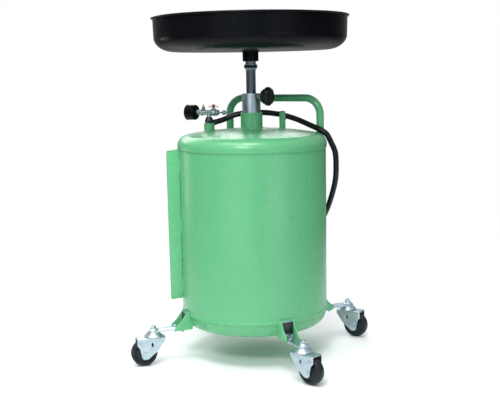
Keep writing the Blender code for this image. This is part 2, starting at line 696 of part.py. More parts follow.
def gauge(group):
    wall = 0.0015
    stem_end = TEE_START - GAP
    profile = [(0, stem_end), (0.0055, stem_end), (0.0055, GAUGE_BACK + 0.003), (0.0075, GAUGE_BACK),
               (GAUGE_R - 0.002, GAUGE_BACK), (GAUGE_R, GAUGE_BACK - 0.002),
               (GAUGE_R, GAUGE_FACE + 0.001), (GAUGE_R - 0.001, GAUGE_FACE),
               (GAUGE_R - 0.0025, GAUGE_FACE), (GAUGE_R - wall, GAUGE_FACE + 0.001),
               (GAUGE_R - wall, GAUGE_BACK - wall), (0, GAUGE_BACK - wall)]
    case = turned("gauge_case", profile, 20)
    case.transform(LATHE_TO_X)
    place("gauge_case", case, "black_enamel", parent=group)

    inside = GAUGE_R - wall - GAP
    dial = rod("gauge_dial", inside, DIAL_X - 0.0004, DIAL_X + 0.0004, 20)
    dial.transform(LATHE_TO_X)
    place("gauge_dial", dial, "dial_white", parent=group)
    lens = rod("gauge_lens", inside, LENS_X - 0.0003, LENS_X + 0.0007, 20)
    lens.transform(LATHE_TO_X)
    place("gauge_lens", lens, "clear_plastic", parent=group)
    place("gauge_needle", needle(), "black_plastic", (NEEDLE_X, 0, 0), parent=group)


def needle():
    """Pointer with a round hub and a short tail, pointing at the zero of the scale."""
    outline = [(-0.0006, 0.0150), (-0.0011, 0.0020), *arc((0, 0), 0.0024, 118, 242, 5),
               (-0.0010, -0.0050), (0.0010, -0.0050), *arc((0, 0), 0.0024, -62, 62, 5),
               (0.0011, 0.0020), (0.0006, 0.0150)]
    flat = prism("gauge_needle", outline, 0.0006)
    zero = Matrix.Rotation(math.radians(-135), 4, "X")
    facing = LATHE_TO_X @ Matrix.Rotation(math.radians(90), 4, "Z")
    flat.transform(zero @ facing @ Matrix.Translation((0, 0, -0.0003)))
    return flat


def level_gauge():
    side = pivot("sight_frame", (0, 0, 0), SIGHT_ANGLE)
    inner = TANK_R - 0.0002
    outline = [(inner, SIGHT_LOW + SIGHT_DROP), (SIGHT_PROUD, SIGHT_LOW), (SIGHT_PROUD, SIGHT_HIGH),
               (inner, SIGHT_HIGH + SIGHT_DROP)]
    channel = slab("sight_guard", outline, 2 * SIGHT_HALF)
    room = box("guard_room", (inner - 0.01, SIGHT_SHEET - SIGHT_HALF, SIGHT_LOW - 0.05),
               (SIGHT_PROUD - SIGHT_SHEET, SIGHT_HALF - SIGHT_SHEET, SIGHT_HIGH + 0.05))
    window = box("guard_window", (SIGHT_PROUD - 0.01, -WINDOW_HALF, SIGHT_TUBE_LOW + 0.01),
                 (SIGHT_PROUD + 0.01, WINDOW_HALF, SIGHT_TUBE_HIGH - 0.01))
    place("sight_guard", shaped("sight_guard", channel, [room, window]), "green_paint", parent=side)

    tube = [(SIGHT_TUBE_BORE, SIGHT_TUBE_HIGH), (SIGHT_TUBE_R, SIGHT_TUBE_HIGH),
            (SIGHT_TUBE_R, SIGHT_TUBE_LOW), (SIGHT_TUBE_BORE, SIGHT_TUBE_LOW)]
    place("sight_tube", turned("sight_tube", tube, 12, ring=True), "clear_plastic",
          (SIGHT_TUBE_RADIAL, 0, 0), parent=side)
    for name, z, up in (("sight_elbow_lower", SIGHT_TUBE_LOW, 1), ("sight_elbow_upper", SIGHT_TUBE_HIGH, -1)):
        port = z - SIGHT_ELBOW_DROP * up
        corners = [Vector((TANK_R + GAP, 0, port)), Vector((SIGHT_TUBE_RADIAL, 0, port)),
                   Vector((SIGHT_TUBE_RADIAL, 0, z - GAP * up))]
        elbow = swept(name, rounded_path(corners, 0.008, 3), SIGHT_ELBOW_R, 10)
        place(name, elbow, "brass", parent=side)


def bracket_mesh():
    """Two fins, a web against the tank and a floor that carries the arm."""
    fins = [(ARM_INNER - 0.002, FIN_BOTTOM), (FIN_REACH - 0.004, FIN_BOTTOM),
            (FIN_REACH, FIN_BOTTOM + 0.004), (FIN_REACH, FIN_BOTTOM + 0.011),
            (0.2340, 0.1180), (0.2165, FIN_TOP), (TANK_R + 0.0012, FIN_TOP),
            (TANK_R + 0.0012, 0.1265), (0.2060, 0.1080), (ARM_INNER - 0.002, 0.0985)]
    body = slab("leg_bracket", fins, 2 * BRACKET_HALF)
    web = TANK_R + 0.0020
    floor = FIN_BOTTOM + BRACKET_SHEET
    under = ARM_TOP + 0.003
    room = [(0.19, floor), (0.30, floor), (0.30, 0.20), (web + BRACKET_SHEET, 0.20),
            (web + BRACKET_SHEET, under), (web, under), (web, 0.20), (0.19, 0.20)]
    return shaped("leg_bracket", body, [slab("bracket_room", room, 2 * (BRACKET_HALF - BRACKET_SHEET))])


def arm_mesh():
    outline = [(ARM_INNER, -ARM_HALF), *arc((KINGPIN_RADIAL, 0), ARM_HALF, -90, 90, 6),
               (ARM_INNER, ARM_HALF)]
    arm = prism("leg_arm", outline, ARM_TOP - ARM_BOTTOM)
    upstand = box("upstand", (ARM_UPSTAND, -ARM_HALF, 0),
                  (ARM_UPSTAND + ARM_TOP - ARM_BOTTOM, ARM_HALF, ARM_UPSTAND_TOP - ARM_BOTTOM))
    arm = shaped("leg_arm", arm, [upstand], "UNION")
    hole = rod("kingpin_hole", SWIVEL_HOLE_R, -0.01, 0.02, 10)
    hole.transform(Matrix.Translation((KINGPIN_RADIAL, 0, 0)))
    arm = shaped("leg_arm", arm, [hole])
    arm.transform(Matrix.Translation((0, 0, ARM_BOTTOM)))
    return arm


def kingpin_mesh():
    """Nut on its conical cap, stud, bell-shaped raceway and rivet head on the caster's swivel axis."""
    cap_low = ARM_TOP + GAP
    bell_top = ARM_BOTTOM - GAP
    head_top = FORK_TOP - FORK_SHEET - GAP
    head_low = head_top - RIVET_HEIGHT
    profile = [(0, PIN_TOP), (SWIVEL_R, PIN_TOP), (SWIVEL_R, NUT_TOP), (NUT_R, NUT_TOP), (NUT_R, NUT_BOTTOM),
               (CAP_R, cap_low + 0.0008), (CAP_R, cap_low), (SWIVEL_R, cap_low), (SWIVEL_R, bell_top),
               (RACEWAY_NECK_R, bell_top),
               (RACEWAY_R * 0.75, bell_top - 0.0030), (RACEWAY_R, FORK_TOP + 0.0022),
               (RACEWAY_R, FORK_TOP + GAP), (SWIVEL_R, FORK_TOP + GAP), (SWIVEL_R, head_top),
               (RIVET_R, head_top), (RIVET_R, head_low), (0, head_low)]
    return turned("kingpin", profile, 12)


def fork_mesh():
    """Pressed fork: a top plate round the swivel and two tapering sides down to the axle."""
    plan = [(FORK_FRONT, -FORK_HALF), (FORK_FRONT, FORK_HALF)]
    rear = math.degrees(math.asin(FORK_HALF / FORK_REAR))
    plan += arc((0, 0), FORK_REAR, 180 - rear, 180 + rear, 4)
    low = 0.021
    blank = prism("caster_fork", plan, FORK_TOP - low + 0.004)
    blank.transform(Matrix.Translation((0, 0, low - 0.004)))
    side = [(-FORK_REAR - 0.01, FORK_TOP), (-FORK_REAR - 0.01, 0.0770), (-0.0310, 0.0735), (-0.0225, 0.0620),
            (-0.0085, 0.0440), (0.0145, 0.0270), (0.0180, low), (0.0340, low), (0.0365, 0.0250),
            (0.0400, 0.0400), (0.0435, 0.0560), (FORK_FRONT + 0.01, 0.0700), (FORK_FRONT + 0.01, FORK_TOP)]
    blank = shaped("caster_fork", blank, [slab("fork_side", side, 0.1)], "INTERSECT")
    room = box("fork_room", (-0.1, FORK_SHEET - FORK_HALF, -0.1),
               (0.1, FORK_HALF - FORK_SHEET, FORK_TOP - FORK_SHEET))
    swivel_hole = rod("swivel_hole", SWIVEL_HOLE_R, 0.05, 0.1, 10)
    axle_hole = rod("axle_hole", AXLE_R + 2 * GAP, -0.05, 0.05, 10)
    axle_hole.transform(Matrix.Translation((TRAIL, 0, WHEEL_R)) @ LATHE_TO_Y)
    return shaped("caster_fork", blank, [room, swivel_hole, axle_hole])


def wheel_mesh():
    """Moulded wheel with its axis along Y; one tread facet lies flat on the floor."""
    hub = FORK_HALF - FORK_SHEET - 0.0005
    web = WHEEL_HALF - 0.0018
    tread = WHEEL_R / math.cos(math.pi / WHEEL_SEGMENTS)
    half = [(AXLE_R + GAP, hub), (0.0095, hub), (0.0110, web), (0.0285, web), (0.0345, WHEEL_HALF),
            (tread, WHEEL_HALF - 0.0035)]
    profile = half + [(r, -y) for r, y in half[::-1]]
    wheel = turned("caster_wheel", profile, WHEEL_SEGMENTS, ring=True, half_step=True)
    wheel.transform(LATHE_TO_Y)
    return wheel


def axle_mesh():
    head = FORK_HALF + GAP
    end = head + RIVET_HEIGHT
    profile = [(0, end), (AXLE_HEAD_R, end), (AXLE_HEAD_R, head), (AXLE_R, head),
               (AXLE_R, -head), (AXLE_HEAD_R, -head), (AXLE_HEAD_R, -end), (0, -end)]
    axle = turned("caster_axle", profile, 10)
    axle.transform(LATHE_TO_Y)
    return axle


def legs():
    bracket, arm, kingpin = bracket_mesh(), arm_mesh(), kingpin_mesh()
    fork, wheel, axle = fork_mesh(), wheel_mesh(), axle_mesh()
    for number, (leg_angle, yaw) in enumerate(zip(LEG_ANGLES, CASTER_YAWS), 1):
        place(f"leg_bracket_{number}", bracket, "green_paint", turn=leg_angle)
        place(f"leg_arm_{number}", arm, "zinc", turn=leg_angle)
        swivel = polar(KINGPIN_RADIAL, leg_angle)
        place(f"kingpin_{number}", kingpin, "zinc", swivel, leg_angle)
        caster = pivot(f"caster_{number}_frame", swivel, yaw)
        place(f"caster_fork_{number}", fork, "zinc", parent=caster)
        hub = (TRAIL, 0, WHEEL_R)
        place(f"caster_axle_{number}", axle, "zinc", hub, parent=caster)
        place(f"caster_wheel_{number}", wheel, "wheel_rubber", hub, parent=caster)


def build():
    clear_scene()
    tank()
    mast_guide()
    clamp()
    mast()
    bowl()
    push_handle()
    hose_hook()
    hose()
    outlet_elbow()
    valve_group()
    level_gauge()
    legs()


build()
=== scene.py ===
"""Looks of the waste-oil drainer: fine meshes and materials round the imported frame.

Units are metres and +Z is up. Each function makes one group of pieces, sized and placed from the
frame's boxes and joints, and each piece rides on the body of the node that it stands for.
"""
import json
import math

import bmesh
import bpy
from mathutils import Matrix, Vector, noise


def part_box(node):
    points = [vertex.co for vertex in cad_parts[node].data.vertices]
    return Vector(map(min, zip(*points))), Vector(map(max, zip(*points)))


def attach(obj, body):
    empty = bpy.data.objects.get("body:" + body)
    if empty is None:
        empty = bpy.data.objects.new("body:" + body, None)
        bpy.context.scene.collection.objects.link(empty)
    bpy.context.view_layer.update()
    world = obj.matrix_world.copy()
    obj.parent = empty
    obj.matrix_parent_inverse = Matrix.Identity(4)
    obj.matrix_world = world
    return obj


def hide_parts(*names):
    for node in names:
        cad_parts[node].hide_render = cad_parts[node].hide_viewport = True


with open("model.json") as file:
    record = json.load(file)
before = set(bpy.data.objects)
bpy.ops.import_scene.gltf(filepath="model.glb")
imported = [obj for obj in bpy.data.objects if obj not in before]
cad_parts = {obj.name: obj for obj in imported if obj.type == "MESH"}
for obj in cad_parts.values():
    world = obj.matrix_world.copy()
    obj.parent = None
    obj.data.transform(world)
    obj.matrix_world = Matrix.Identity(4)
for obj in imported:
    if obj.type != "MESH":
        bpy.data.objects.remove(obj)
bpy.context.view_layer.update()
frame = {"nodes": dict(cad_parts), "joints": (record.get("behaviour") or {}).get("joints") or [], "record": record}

NODES = frame["nodes"]
JOINTS = {joint["name"]: joint for joint in frame["joints"]}
SLOTS = {part["node"]: part["material_slot"] for part in frame["record"]["subparts"]}
BODY_OF = {node: body for body, nodes in frame["record"]["behaviour"]["bodies"].items()
           for node in nodes}

MERGE = 1e-5  # distance within which the vertices of a copied frame mesh are one
SHARP = math.radians(38)
LATHE_TO_X = Matrix.Rotation(math.radians(90), 4, "Y")
LATHE_TO_Y = Matrix.Rotation(math.radians(-90), 4, "X")
TANK_ROUND = 192  # segments

SLACK = 0.0003  # gap between a turned piece's bore and what is inside it
HEAD_DISH = 0.046
HEAD_KNUCKLE = 0.030
HEAD_WALL = 0.0022
SHELL_BEAD = 0.0015
SHELL_WALL = 0.002
WELD_RIPPLE = 0.0034  # spacing of the ripples along a weld
WELD_STEP = 0.0011  # spacing of the points along a weld
SCREW_HOLE_R = 0.0054
MAST_BORE_R = 0.0108
FORK_SHEET = 0.003
ARM_SHEET = 0.004
BOWL_WALL = 0.0016
BOWL_CORNER = 0.040
BOWL_FLAT_R = 0.215
HANDLE_R = 0.0108
HANDLE_BEND = 0.048
LEVER_OFFSET = 0.0155  # from the valve group's centre to the lever's stem
SCALE_TURN = 270  # degrees from the dial's zero, which is at 225, to its last number
CASTERS = (1, 2, 3, 4)


# ---------------- measuring the frame

def size_of(node):
    low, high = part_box(node)
    return high - low


def middle(node):
    low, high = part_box(node)
    return (low + high) / 2


def local_box(node, matrix):
    """Lowest and highest corner of a node in the frame that the matrix places in the world."""
    back = matrix.inverted()
    points = [back @ v.co for v in NODES[node].data.vertices]
    low = Vector([min(p[i] for p in points) for i in range(3)])
    high = Vector([max(p[i] for p in points) for i in range(3)])
    return low, high


def shift(x, y, z):
    return Matrix.Translation((x, y, z))


def turn(degrees):
    return Matrix.Rotation(math.radians(degrees), 4, "Z")


def turned_frame(x, y, z, angle):
    return shift(x, y, z) @ Matrix.Rotation(angle, 4, "Z")


def facing(direction):
    """Rotation that takes Z to a direction."""
    return direction.to_track_quat("Z", "Y").to_matrix().to_4x4()


def heading(vector):
    return math.atan2(vector[1], vector[0])


def tank_radius():
    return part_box("tank_shell")[1].x - SHELL_BEAD


def centreline(node, start):
    """Ring centres and radius of a bent bar in the frame, walked from its end nearest to start."""
    bm = bmesh.new()
    bm.from_mesh(NODES[node].data)
    bmesh.ops.remove_doubles(bm, verts=bm.verts, dist=MERGE)
    first = min(bm.verts, key=lambda v: (v.co - start).length)
    across = (first.co - start).length
    ring = {v for v in bm.verts if abs((v.co - start).length - across) < 0.1 * across}
    seen = set(ring)
    path = []
    while ring:
        path.append(sum((v.co for v in ring), Vector()) / len(ring))
        if len(path) == 1:
            radius = max((v.co - path[0]).length for v in ring)
        ring = {e.other_vert(v) for v in ring for e in v.link_edges} - seen
        seen |= ring
    bm.free()
    return path, radius


# ---------------- shapes

def finished(bm, sharp=SHARP):
    bmesh.ops.recalc_face_normals(bm, faces=bm.faces)
    mesh = bpy.data.meshes.new("shape")
    bm.to_mesh(mesh)
    bm.free()
    mesh.shade_smooth()
    mesh.set_sharp_from_angle(angle=sharp)
    return mesh


def moved(mesh, matrix):
    mesh.transform(matrix)
    return mesh


def along_x(mesh, x=0.0):
    """A turned mesh laid along X."""
    return moved(mesh, shift(x, 0, 0) @ LATHE_TO_X)


def mm(points, z=0.0):
    """Outline points in millimetres as metres, with their second value measured from z."""
    return [(p[0] / 1000, z + p[1] / 1000, *[ease / 1000 for ease in p[2:]]) for p in points]


def eased(points, radius, steps=3, closed=False):
    """The outline with its corners rounded; a point's third value is that corner's own radius."""
    out = []
    count = len(points)
    for i, point in enumerate(points):
        here = Vector(point[:2])
        own = point[2] if len(point) > 2 else radius
        if own == 0 or (not closed and i in (0, count - 1)):
            out.append(here)
            continue
        before = Vector(points[i - 1][:2])
        after = Vector(points[(i + 1) % count][:2])
        start = here + (before - here).normalized() * min(own, 0.48 * (before - here).length)
        end = here + (after - here).normalized() * min(own, 0.48 * (after - here).length)
        for k in range(steps + 1):
            t = k / steps
            out.append(start * (1 - t) ** 2 + here * 2 * t * (1 - t) + end * t * t)
    return [tuple(p) for p in out]


def round_angles(count):
    return [2 * math.pi * k / count for k in range(count)]


def arc(centre, radius, start, end, steps):
    """Points on an arc; angles in degrees."""
    points = []
    for i in range(steps + 1):
        a = math.radians(start + (end - start) * i / steps)
        points.append((centre[0] + radius * math.cos(a), centre[1] + radius * math.sin(a)))
    return points


def turned(points, segments, ease=0.0, steps=3, ring=False):
    """Solid of revolution about Z from (radius, z) points with eased corners."""
    bm = bmesh.new()
    verts = [bm.verts.new((r, 0, z)) for r, z in eased(points, ease, steps, closed=ring)]
    pairs = list(zip(verts, verts[1:]))
    if ring:
        pairs.append((verts[-1], verts[0]))
    edges = [bm.edges.new(pair) for pair in pairs]
    bmesh.ops.spin(bm, geom=verts + edges, cent=(0, 0, 0), axis=(0, 0, 1),
                   angle=2 * math.pi, steps=segments, use_merge=True)
    bmesh.ops.remove_doubles(bm, verts=bm.verts, dist=1e-6)
    return finished(bm)


def tube(inner, outer, low, high, segments, ease=0.0, steps=3):
    corners = [(inner, high), (outer, high), (outer, low), (inner, low)]
    return turned(corners, segments, ease, steps, ring=True)


def rod(radius, low, high, segments=32, ease=0.0):
    return turned([(0, high), (radius, high, ease), (radius, low, ease), (0, low)], segments)


def prism(outline, depth):
    bm = bmesh.new()
    face = bm.faces.new([bm.verts.new((x, y, 0)) for x, y in outline])
    grown = bmesh.ops.extrude_face_region(bm, geom=[face])["geom"]
    lifted = [v for v in grown if isinstance(v, bmesh.types.BMVert)]
    bmesh.ops.translate(bm, verts=lifted, vec=(0, 0, depth))
    return finished(bm)


def slab(outline, width):
    """A prism stood on edge: its outline's (x, y) become (x, z), centred across Y."""
    upright = Matrix.Rotation(math.radians(90), 4, "X")
    return moved(prism(outline, width), shift(0, width / 2, 0) @ upright)


def box(low, high):
    outline = [(low[0], low[1]), (high[0], low[1]), (high[0], high[1]), (low[0], high[1])]
    return moved(prism(outline, high[2] - low[2]), shift(0, 0, low[2]))


def skinned(rings, closed=False, sharp=SHARP):
    """Solid through rings of points, capped, or closed from its last ring to its first."""
    bm = bmesh.new()
    rings = [[bm.verts.new(point) for point in ring] for ring in rings]
    if closed:
        rings.append(rings[0])
    else:
        bm.faces.new(rings[0])
        bm.faces.new(rings[-1])
    for near, far in zip(rings, rings[1:]):
        for k in range(len(near)):
            j = (k + 1) % len(near)
            bm.faces.new((near[k], near[j], far[j], far[k]))
    return finished(bm, sharp)


def lofted(levels, radius_at, segments, bore=0.0, sharp=SHARP):
    """Solid about Z from rings at the levels (z, size), with radius_at(angle, size)."""
    angles = round_angles(segments)
    rings = [[(radius_at(a, size) * math.cos(a), radius_at(a, size) * math.sin(a), z)
              for a in angles] for z, size in levels]
    if bore:
        rings += [[(bore * math.cos(a), bore * math.sin(a), z) for a in angles]
                  for z in (levels[-1][0], levels[0][0])]
    return skinned(rings, bool(bore), sharp)


def hexagon(corner_r, low, high, bore=0.0, chamfer=0.0006):
    """Hexagonal nut or bolt head with its corners chamfered by a cone at both ends."""
    flat = corner_r * math.cos(math.pi / 6)

    def radius_at(a, limit):
        off = (a + math.pi / 6) % (math.pi / 3) - math.pi / 6
        return min(flat / math.cos(off), limit)

    levels = [(low, corner_r - 2 * chamfer), (low + chamfer, corner_r),
              (high - chamfer, corner_r), (high, corner_r - 2 * chamfer)]
    return lofted(levels, radius_at, 48, bore, math.radians(20))


def smooth_path(points, per_span):
    """Catmull-Rom curve through the points."""
    ends = [2 * points[0] - points[1], *points, 2 * points[-1] - points[-2]]
    path = []
    for a, b, c, d in zip(ends, ends[1:], ends[2:], ends[3:]):
        for i in range(per_span):
            t = i / per_span
            path.append(0.5 * (2 * b + (c - a) * t + (2 * a - 5 * b + 4 * c - d) * t * t
                               + (3 * b - a - 3 * c + d) * t ** 3))
    path.append(points[-1])
    return path


def rounded_path(corners, radius, steps=16):
    """Straight runs joined by arcs of one radius at each inner corner."""
    corners = [Vector(corner) for corner in corners]
    path = [corners[0]]
    for before, corner, after in zip(corners, corners[1:], corners[2:]):
        back = (before - corner).normalized()
        ahead = (after - corner).normalized()
        half = back.angle(ahead) / 2
        centre = corner + (back + ahead).normalized() * (radius / math.sin(half))
        start = corner + back * (radius / math.tan(half)) - centre
        axis = back.cross(ahead).normalized()
        sweep = -(math.pi - 2 * half)
        for i in range(steps + 1):
            path.append(centre + Matrix.Rotation(sweep * i / steps, 3, axis) @ start)
    path.append(corners[-1])
    return path


def swept(path, radius, sides=24, closed=False):
    """Round bar along a path; radius is one number or one for each point."""
    radii = radius if isinstance(radius, list) else [radius] * len(path)
    count = len(path)
    side = Vector((0, 0, 1)).cross(path[1] - path[0])
    if side.length < 1e-6:
        side = Vector((1, 0, 0))
    rings = []
    for i, point in enumerate(path):
        if closed:
            along = (path[(i + 1) % count] - path[i - 1]).normalized()
        else:
            along = (path[min(i + 1, count - 1)] - path[max(i - 1, 0)]).normalized()
        side = (side - along * side.dot(along)).normalized()
        other = along.cross(side)
        rings.append([point + radii[i] * (math.cos(a) * side + math.sin(a) * other)
                      for a in round_angles(sides)])
    return skinned(rings, closed)


def evaluated(thing):
    """The mesh of an object after its modifiers, or of a text object."""
    graph = bpy.context.evaluated_depsgraph_get()
    return bpy.data.meshes.new_from_object(thing.evaluated_get(graph))


def in_scene(name, data):
    thing = bpy.data.objects.new(name, data)
    bpy.context.scene.collection.objects.link(thing)
    return thing


def shaped(base, tools, operation="DIFFERENCE"):
    """Base mesh with each tool mesh cut from it, or joined to it."""
    body = in_scene("base", base)
    helpers = [body]
    for mesh in tools:
        helper = in_scene("tool", mesh)
        cut = body.modifiers.new("shape", "BOOLEAN")
        cut.operation = operation
        cut.solver = "EXACT"
        cut.object = helper
        helpers.append(helper)
    mesh = evaluated(body)
    for helper in helpers:
        bpy.data.objects.remove(helper, do_unlink=True)
    mesh.shade_smooth()
    mesh.set_sharp_from_angle(angle=SHARP)
    return mesh


def joined(*meshes):
    """Several meshes as one piece of separate bodies."""
    bm = bmesh.new()
    for mesh in meshes:
        bm.from_mesh(mesh)
    return finished(bm)


def softened(mesh, width, segments=2, limit=30):
    """The mesh with its sharp edges rounded."""
    bm = bmesh.new()
    bm.from_mesh(mesh)
    bmesh.ops.remove_doubles(bm, verts=bm.verts, dist=MERGE)
    bmesh.ops.dissolve_limit(bm, angle_limit=math.radians(1), verts=bm.verts, edges=bm.edges)
    sharp = [e for e in bm.edges if e.is_manifold and e.calc_face_angle() > math.radians(limit)]
    bmesh.ops.bevel(bm, geom=sharp, offset=width, segments=segments, profile=0.5,
                    affect="EDGES", clamp_overlap=True)
    return finished(bm)


def screw(radius, low, high, segments, pitch=0.00125):
    """Solid with threads drawn as closed rings."""
    depth = 0.0005
    turns = max(2, round((high - low) / pitch))
    points = [(0, high)]
    for i in range(turns):
        z = high - (high - low) * i / turns
        points += [(radius - depth, z), (radius, z - 0.35 * pitch), (radius, z - 0.6 * pitch)]
    return turned(points + [(radius - depth, low), (0, low)], segments)


# ---------------- materials

def feed(tree, socket, value):
    """Link a node's output to the socket, or set the socket to a number, vector or colour."""
    if isinstance(value, bpy.types.NodeSocket):
        tree.links.new(value, socket)
    else:
        socket.default_value = (*value, 1.0) if socket.type == "RGBA" else value


def wired(tree, kind, output, **inputs):
    """One output of a new node, with the inputs that are named fed."""
    node = tree.nodes.new("ShaderNode" + kind)
    for name, value in inputs.items():
        feed(tree, node.inputs[name.replace("_", " ")], value)
    return node.outputs[output]


def ramped(tree, value, stops):
    """Colour ramp from (position, colour) stops."""
    result = wired(tree, "ValToRGB", "Color", Fac=value)
    elements = result.node.color_ramp.elements
    while len(elements) < len(stops):
        elements.new(0.5)
    for element, (position, colour) in zip(elements, stops):
        element.position = position
        element.color = (*colour, 1.0)
    return result


def mixed(tree, fac, a, b, blend="MIX"):
    node = tree.nodes.new("ShaderNodeMix")
    node.data_type = "RGBA"
    node.blend_type = blend
    for socket, value in zip([s for s in node.inputs if s.enabled], (fac, a, b)):
        feed(tree, socket, value)
    return next(s for s in node.outputs if s.enabled)


def show_blend(tree, fac, first, second):
    """Mix two shaders and send them to the tree's output."""
    blend = tree.nodes.new("ShaderNodeMixShader")
    for socket, value in zip(blend.inputs, (fac, first, second)):
        feed(tree, socket, value)
    output = next(n for n in tree.nodes if n.type.startswith("OUTPUT"))
    feed(tree, output.inputs["Surface"], blend.outputs["Shader"])


class Surface:
    """One procedural material; textures run in the object's own metres."""

    def __init__(self, name, colour, roughness, metallic=0.0, **sockets):
        self.material = bpy.data.materials.new(name)
        self.material.use_nodes = True
        self.tree = self.material.node_tree
        self.shader = self.tree.nodes["Principled BSDF"]
        self.place = wired(self.tree, "TexCoord", "Object")
        self.set(Base_Color=colour, Roughness=roughness, Metallic=metallic, **sockets)

    def set(self, **sockets):
        for name, value in sockets.items():
            feed(self.tree, self.shader.inputs[name.replace("_", " ")], value)

    def noise(self, scale, detail, stretch=(1, 1, 1)):
        """A noise value whose features are about 1 / scale metres."""
        place = wired(self.tree, "Mapping", "Vector", Vector=self.place, Scale=stretch)
        return wired(self.tree, "TexNoise", "Fac", Vector=place, Scale=scale, Detail=detail,
                     Roughness=0.55)

    def span(self, value, low, high, from_low=0.3, from_high=0.7):
        return wired(self.tree, "MapRange", "Result", Value=value, From_Min=from_low,
                     From_Max=from_high, To_Min=low, To_Max=high)

    def tones(self, value, colour, *stops):
        """Darker and lighter tones of one colour, as (position, factor) stops."""
        return ramped(self.tree, value, [(at, shade(colour, factor)) for at, factor in stops])

    def mix(self, fac, a, b):
        return mixed(self.tree, fac, a, b)

    def gloss(self, low, high, *grain):
        """Roughness that drifts between two values."""
        self.set(Roughness=self.span(self.noise(*grain), low, high))

    def bump(self, distance, strength, *grain):
        """Raised grain, on top of the bumps set before."""
        before = self.shader.inputs["Normal"].links
        height = self.noise(*grain)
        normal = {"Normal": before[0].from_socket} if before else {}
        self.set(Normal=wired(self.tree, "Bump", "Normal", Height=height, Strength=strength,
                              Distance=distance, **normal))

    def edges(self):
        """1 along convex edges and 0 on flats and in hollows."""
        pointed = wired(self.tree, "NewGeometry", "Pointiness")
        return self.span(pointed, 0.0, 1.0, 0.51, 0.58)


def shade(colour, factor):
    return tuple(min(1.0, c * factor) for c in colour)


def enamel(name, colour, roughness, edge=1.15, specular=0.5):
    """Sprayed enamel: faint mottling, orange peel, and convex edges lightened as a painted highlight."""
    s = Surface(name, colour, roughness, Specular_IOR_Level=specular)
    mottle = s.tones(s.noise(5, 4), colour, (0.3, 0.95), (0.7, 1.05))
    speck = s.tones(s.noise(420, 2), colour, (0.30, 0.97), (0.62, 1.02))
    # painted highlight: the convex edges are mixed to a paler tone of the paint
    s.set(Base_Color=s.mix(s.edges(), s.mix(0.3, mottle, speck), shade(colour, edge)))
    s.gloss(roughness - 0.04, roughness + 0.06, 30, 4)
    s.bump(0.0012, 0.35, 4, 2)
    s.bump(0.00005, 0.1, 330, 2)
    return s.material


def plating(name, colour, cool, warm, roughness):
    """Zinc plate over rolled steel: a drifting tint and fine rolling marks."""
    s = Surface(name, colour, roughness, 1.0)
    tint = ramped(s.tree, s.noise(28, 3), [(0.30, cool), (0.52, colour), (0.72, warm)])
    cloud = s.tones(s.noise(150, 4), colour, (0.3, 0.86), (0.7, 1.05))
    s.set(Base_Color=s.mix(0.45, tint, cloud))
    s.gloss(roughness - 0.07, roughness + 0.10, 90, 4)
    s.bump(0.00006, 0.5, 700, 3, (1, 1, 0.06))
    return s.material


def chromed(name, colour, roughness):
    s = Surface(name, colour, roughness, 1.0)
    s.gloss(roughness * 0.6, roughness * 1.8, 60, 4, (1, 1, 0.15))
    s.bump(0.00002, 0.4, 420, 2, (1, 1, 0.05))
    return s.material


def moulded(name, colour, roughness, grain=900, depth=0.00006, coat=0.0, specular=0.5):
    """Moulded plastic or rubber: fine grain, paler along the convex edges."""
    s = Surface(name, colour, roughness, Coat_Weight=coat, Coat_Roughness=0.3,
                Specular_IOR_Level=specular)
    base = s.tones(s.noise(45, 4), colour, (0.3, 0.8), (0.7, 1.3))
    s.set(Base_Color=s.mix(s.edges(), base, shade(colour, 2.6)))
    s.gloss(roughness - 0.08, roughness + 0.10, 70, 3)
    s.bump(depth, 0.6, grain, 2)
    return s.material


def brass_finish(name, colour):
    s = Surface(name, colour, 0.3, 1.0)
    s.set(Base_Color=s.tones(s.noise(120, 4), colour, (0.3, 0.7), (0.6, 1.0), (0.8, 1.15)))
    s.gloss(0.22, 0.42, 200, 3)
    s.bump(0.00004, 0.5, 900, 2, (1, 1, 0.1))
    return s.material


def clear(name, colour, roughness, ior):
    s = Surface(name, colour, roughness, Transmission_Weight=1.0, IOR=ior)
    s.gloss(roughness, roughness + 0.05, 80, 3)
    return s.material


MATERIALS = {
    "green_paint": enamel("green_enamel", (0.112, 0.425, 0.192), 0.28),
    # 2.5: black enamel's convex edges painted 2.5 times paler, a painted highlight
    "black_enamel": enamel("black_enamel", (0.0035, 0.004, 0.005), 0.24, 2.5, 0.10),
    "chrome": chromed("chrome_plate", (0.21, 0.235, 0.265), 0.12),
    "zinc": plating("zinc_plate", (0.50, 0.59, 0.64), (0.40, 0.53, 0.63), (0.56, 0.61, 0.61), 0.36),
    "dark_steel": plating("black_oxide", (0.060, 0.068, 0.075), (0.045, 0.06, 0.075),
                          (0.09, 0.085, 0.08), 0.38),
    "black_plastic": moulded("black_plastic", (0.005, 0.0055, 0.0065), 0.32, specular=0.35),
    "wheel_rubber": moulded("wheel_rubber", (0.008, 0.012, 0.016), 0.42, 500, 0.00008,
                            specular=0.3),
    "rubber": moulded("hose_rubber", (0.005, 0.006, 0.008), 0.36, 1400, 0.00008, specular=0.3),
    "brass": brass_finish("turned_brass", (0.46, 0.42, 0.30)),
    "red_vinyl": moulded("red_vinyl", (0.36, 0.055, 0.050), 0.36, 600, 0.00008, 0.2),
    "dial_white": moulded("dial_card", (0.78, 0.78, 0.76), 0.5, 800, 0.00002),
    "clear_plastic": clear("clear_acrylic", (0.93, 0.97, 0.96), 0.03, 1.47),
    "nylon": moulded("nylon", (0.66, 0.65, 0.60), 0.42, 500),
}


def place(name, mesh, slot, body, *nodes):
    """A new piece with a slot's finish, which rides on a body and stands for some nodes."""
    piece = in_scene(name, mesh)
    mesh.name = name
    mesh.materials.clear()
    mesh.materials.append(MATERIALS[slot])
    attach(piece, body)
    if nodes:
        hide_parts(*nodes)
    return piece


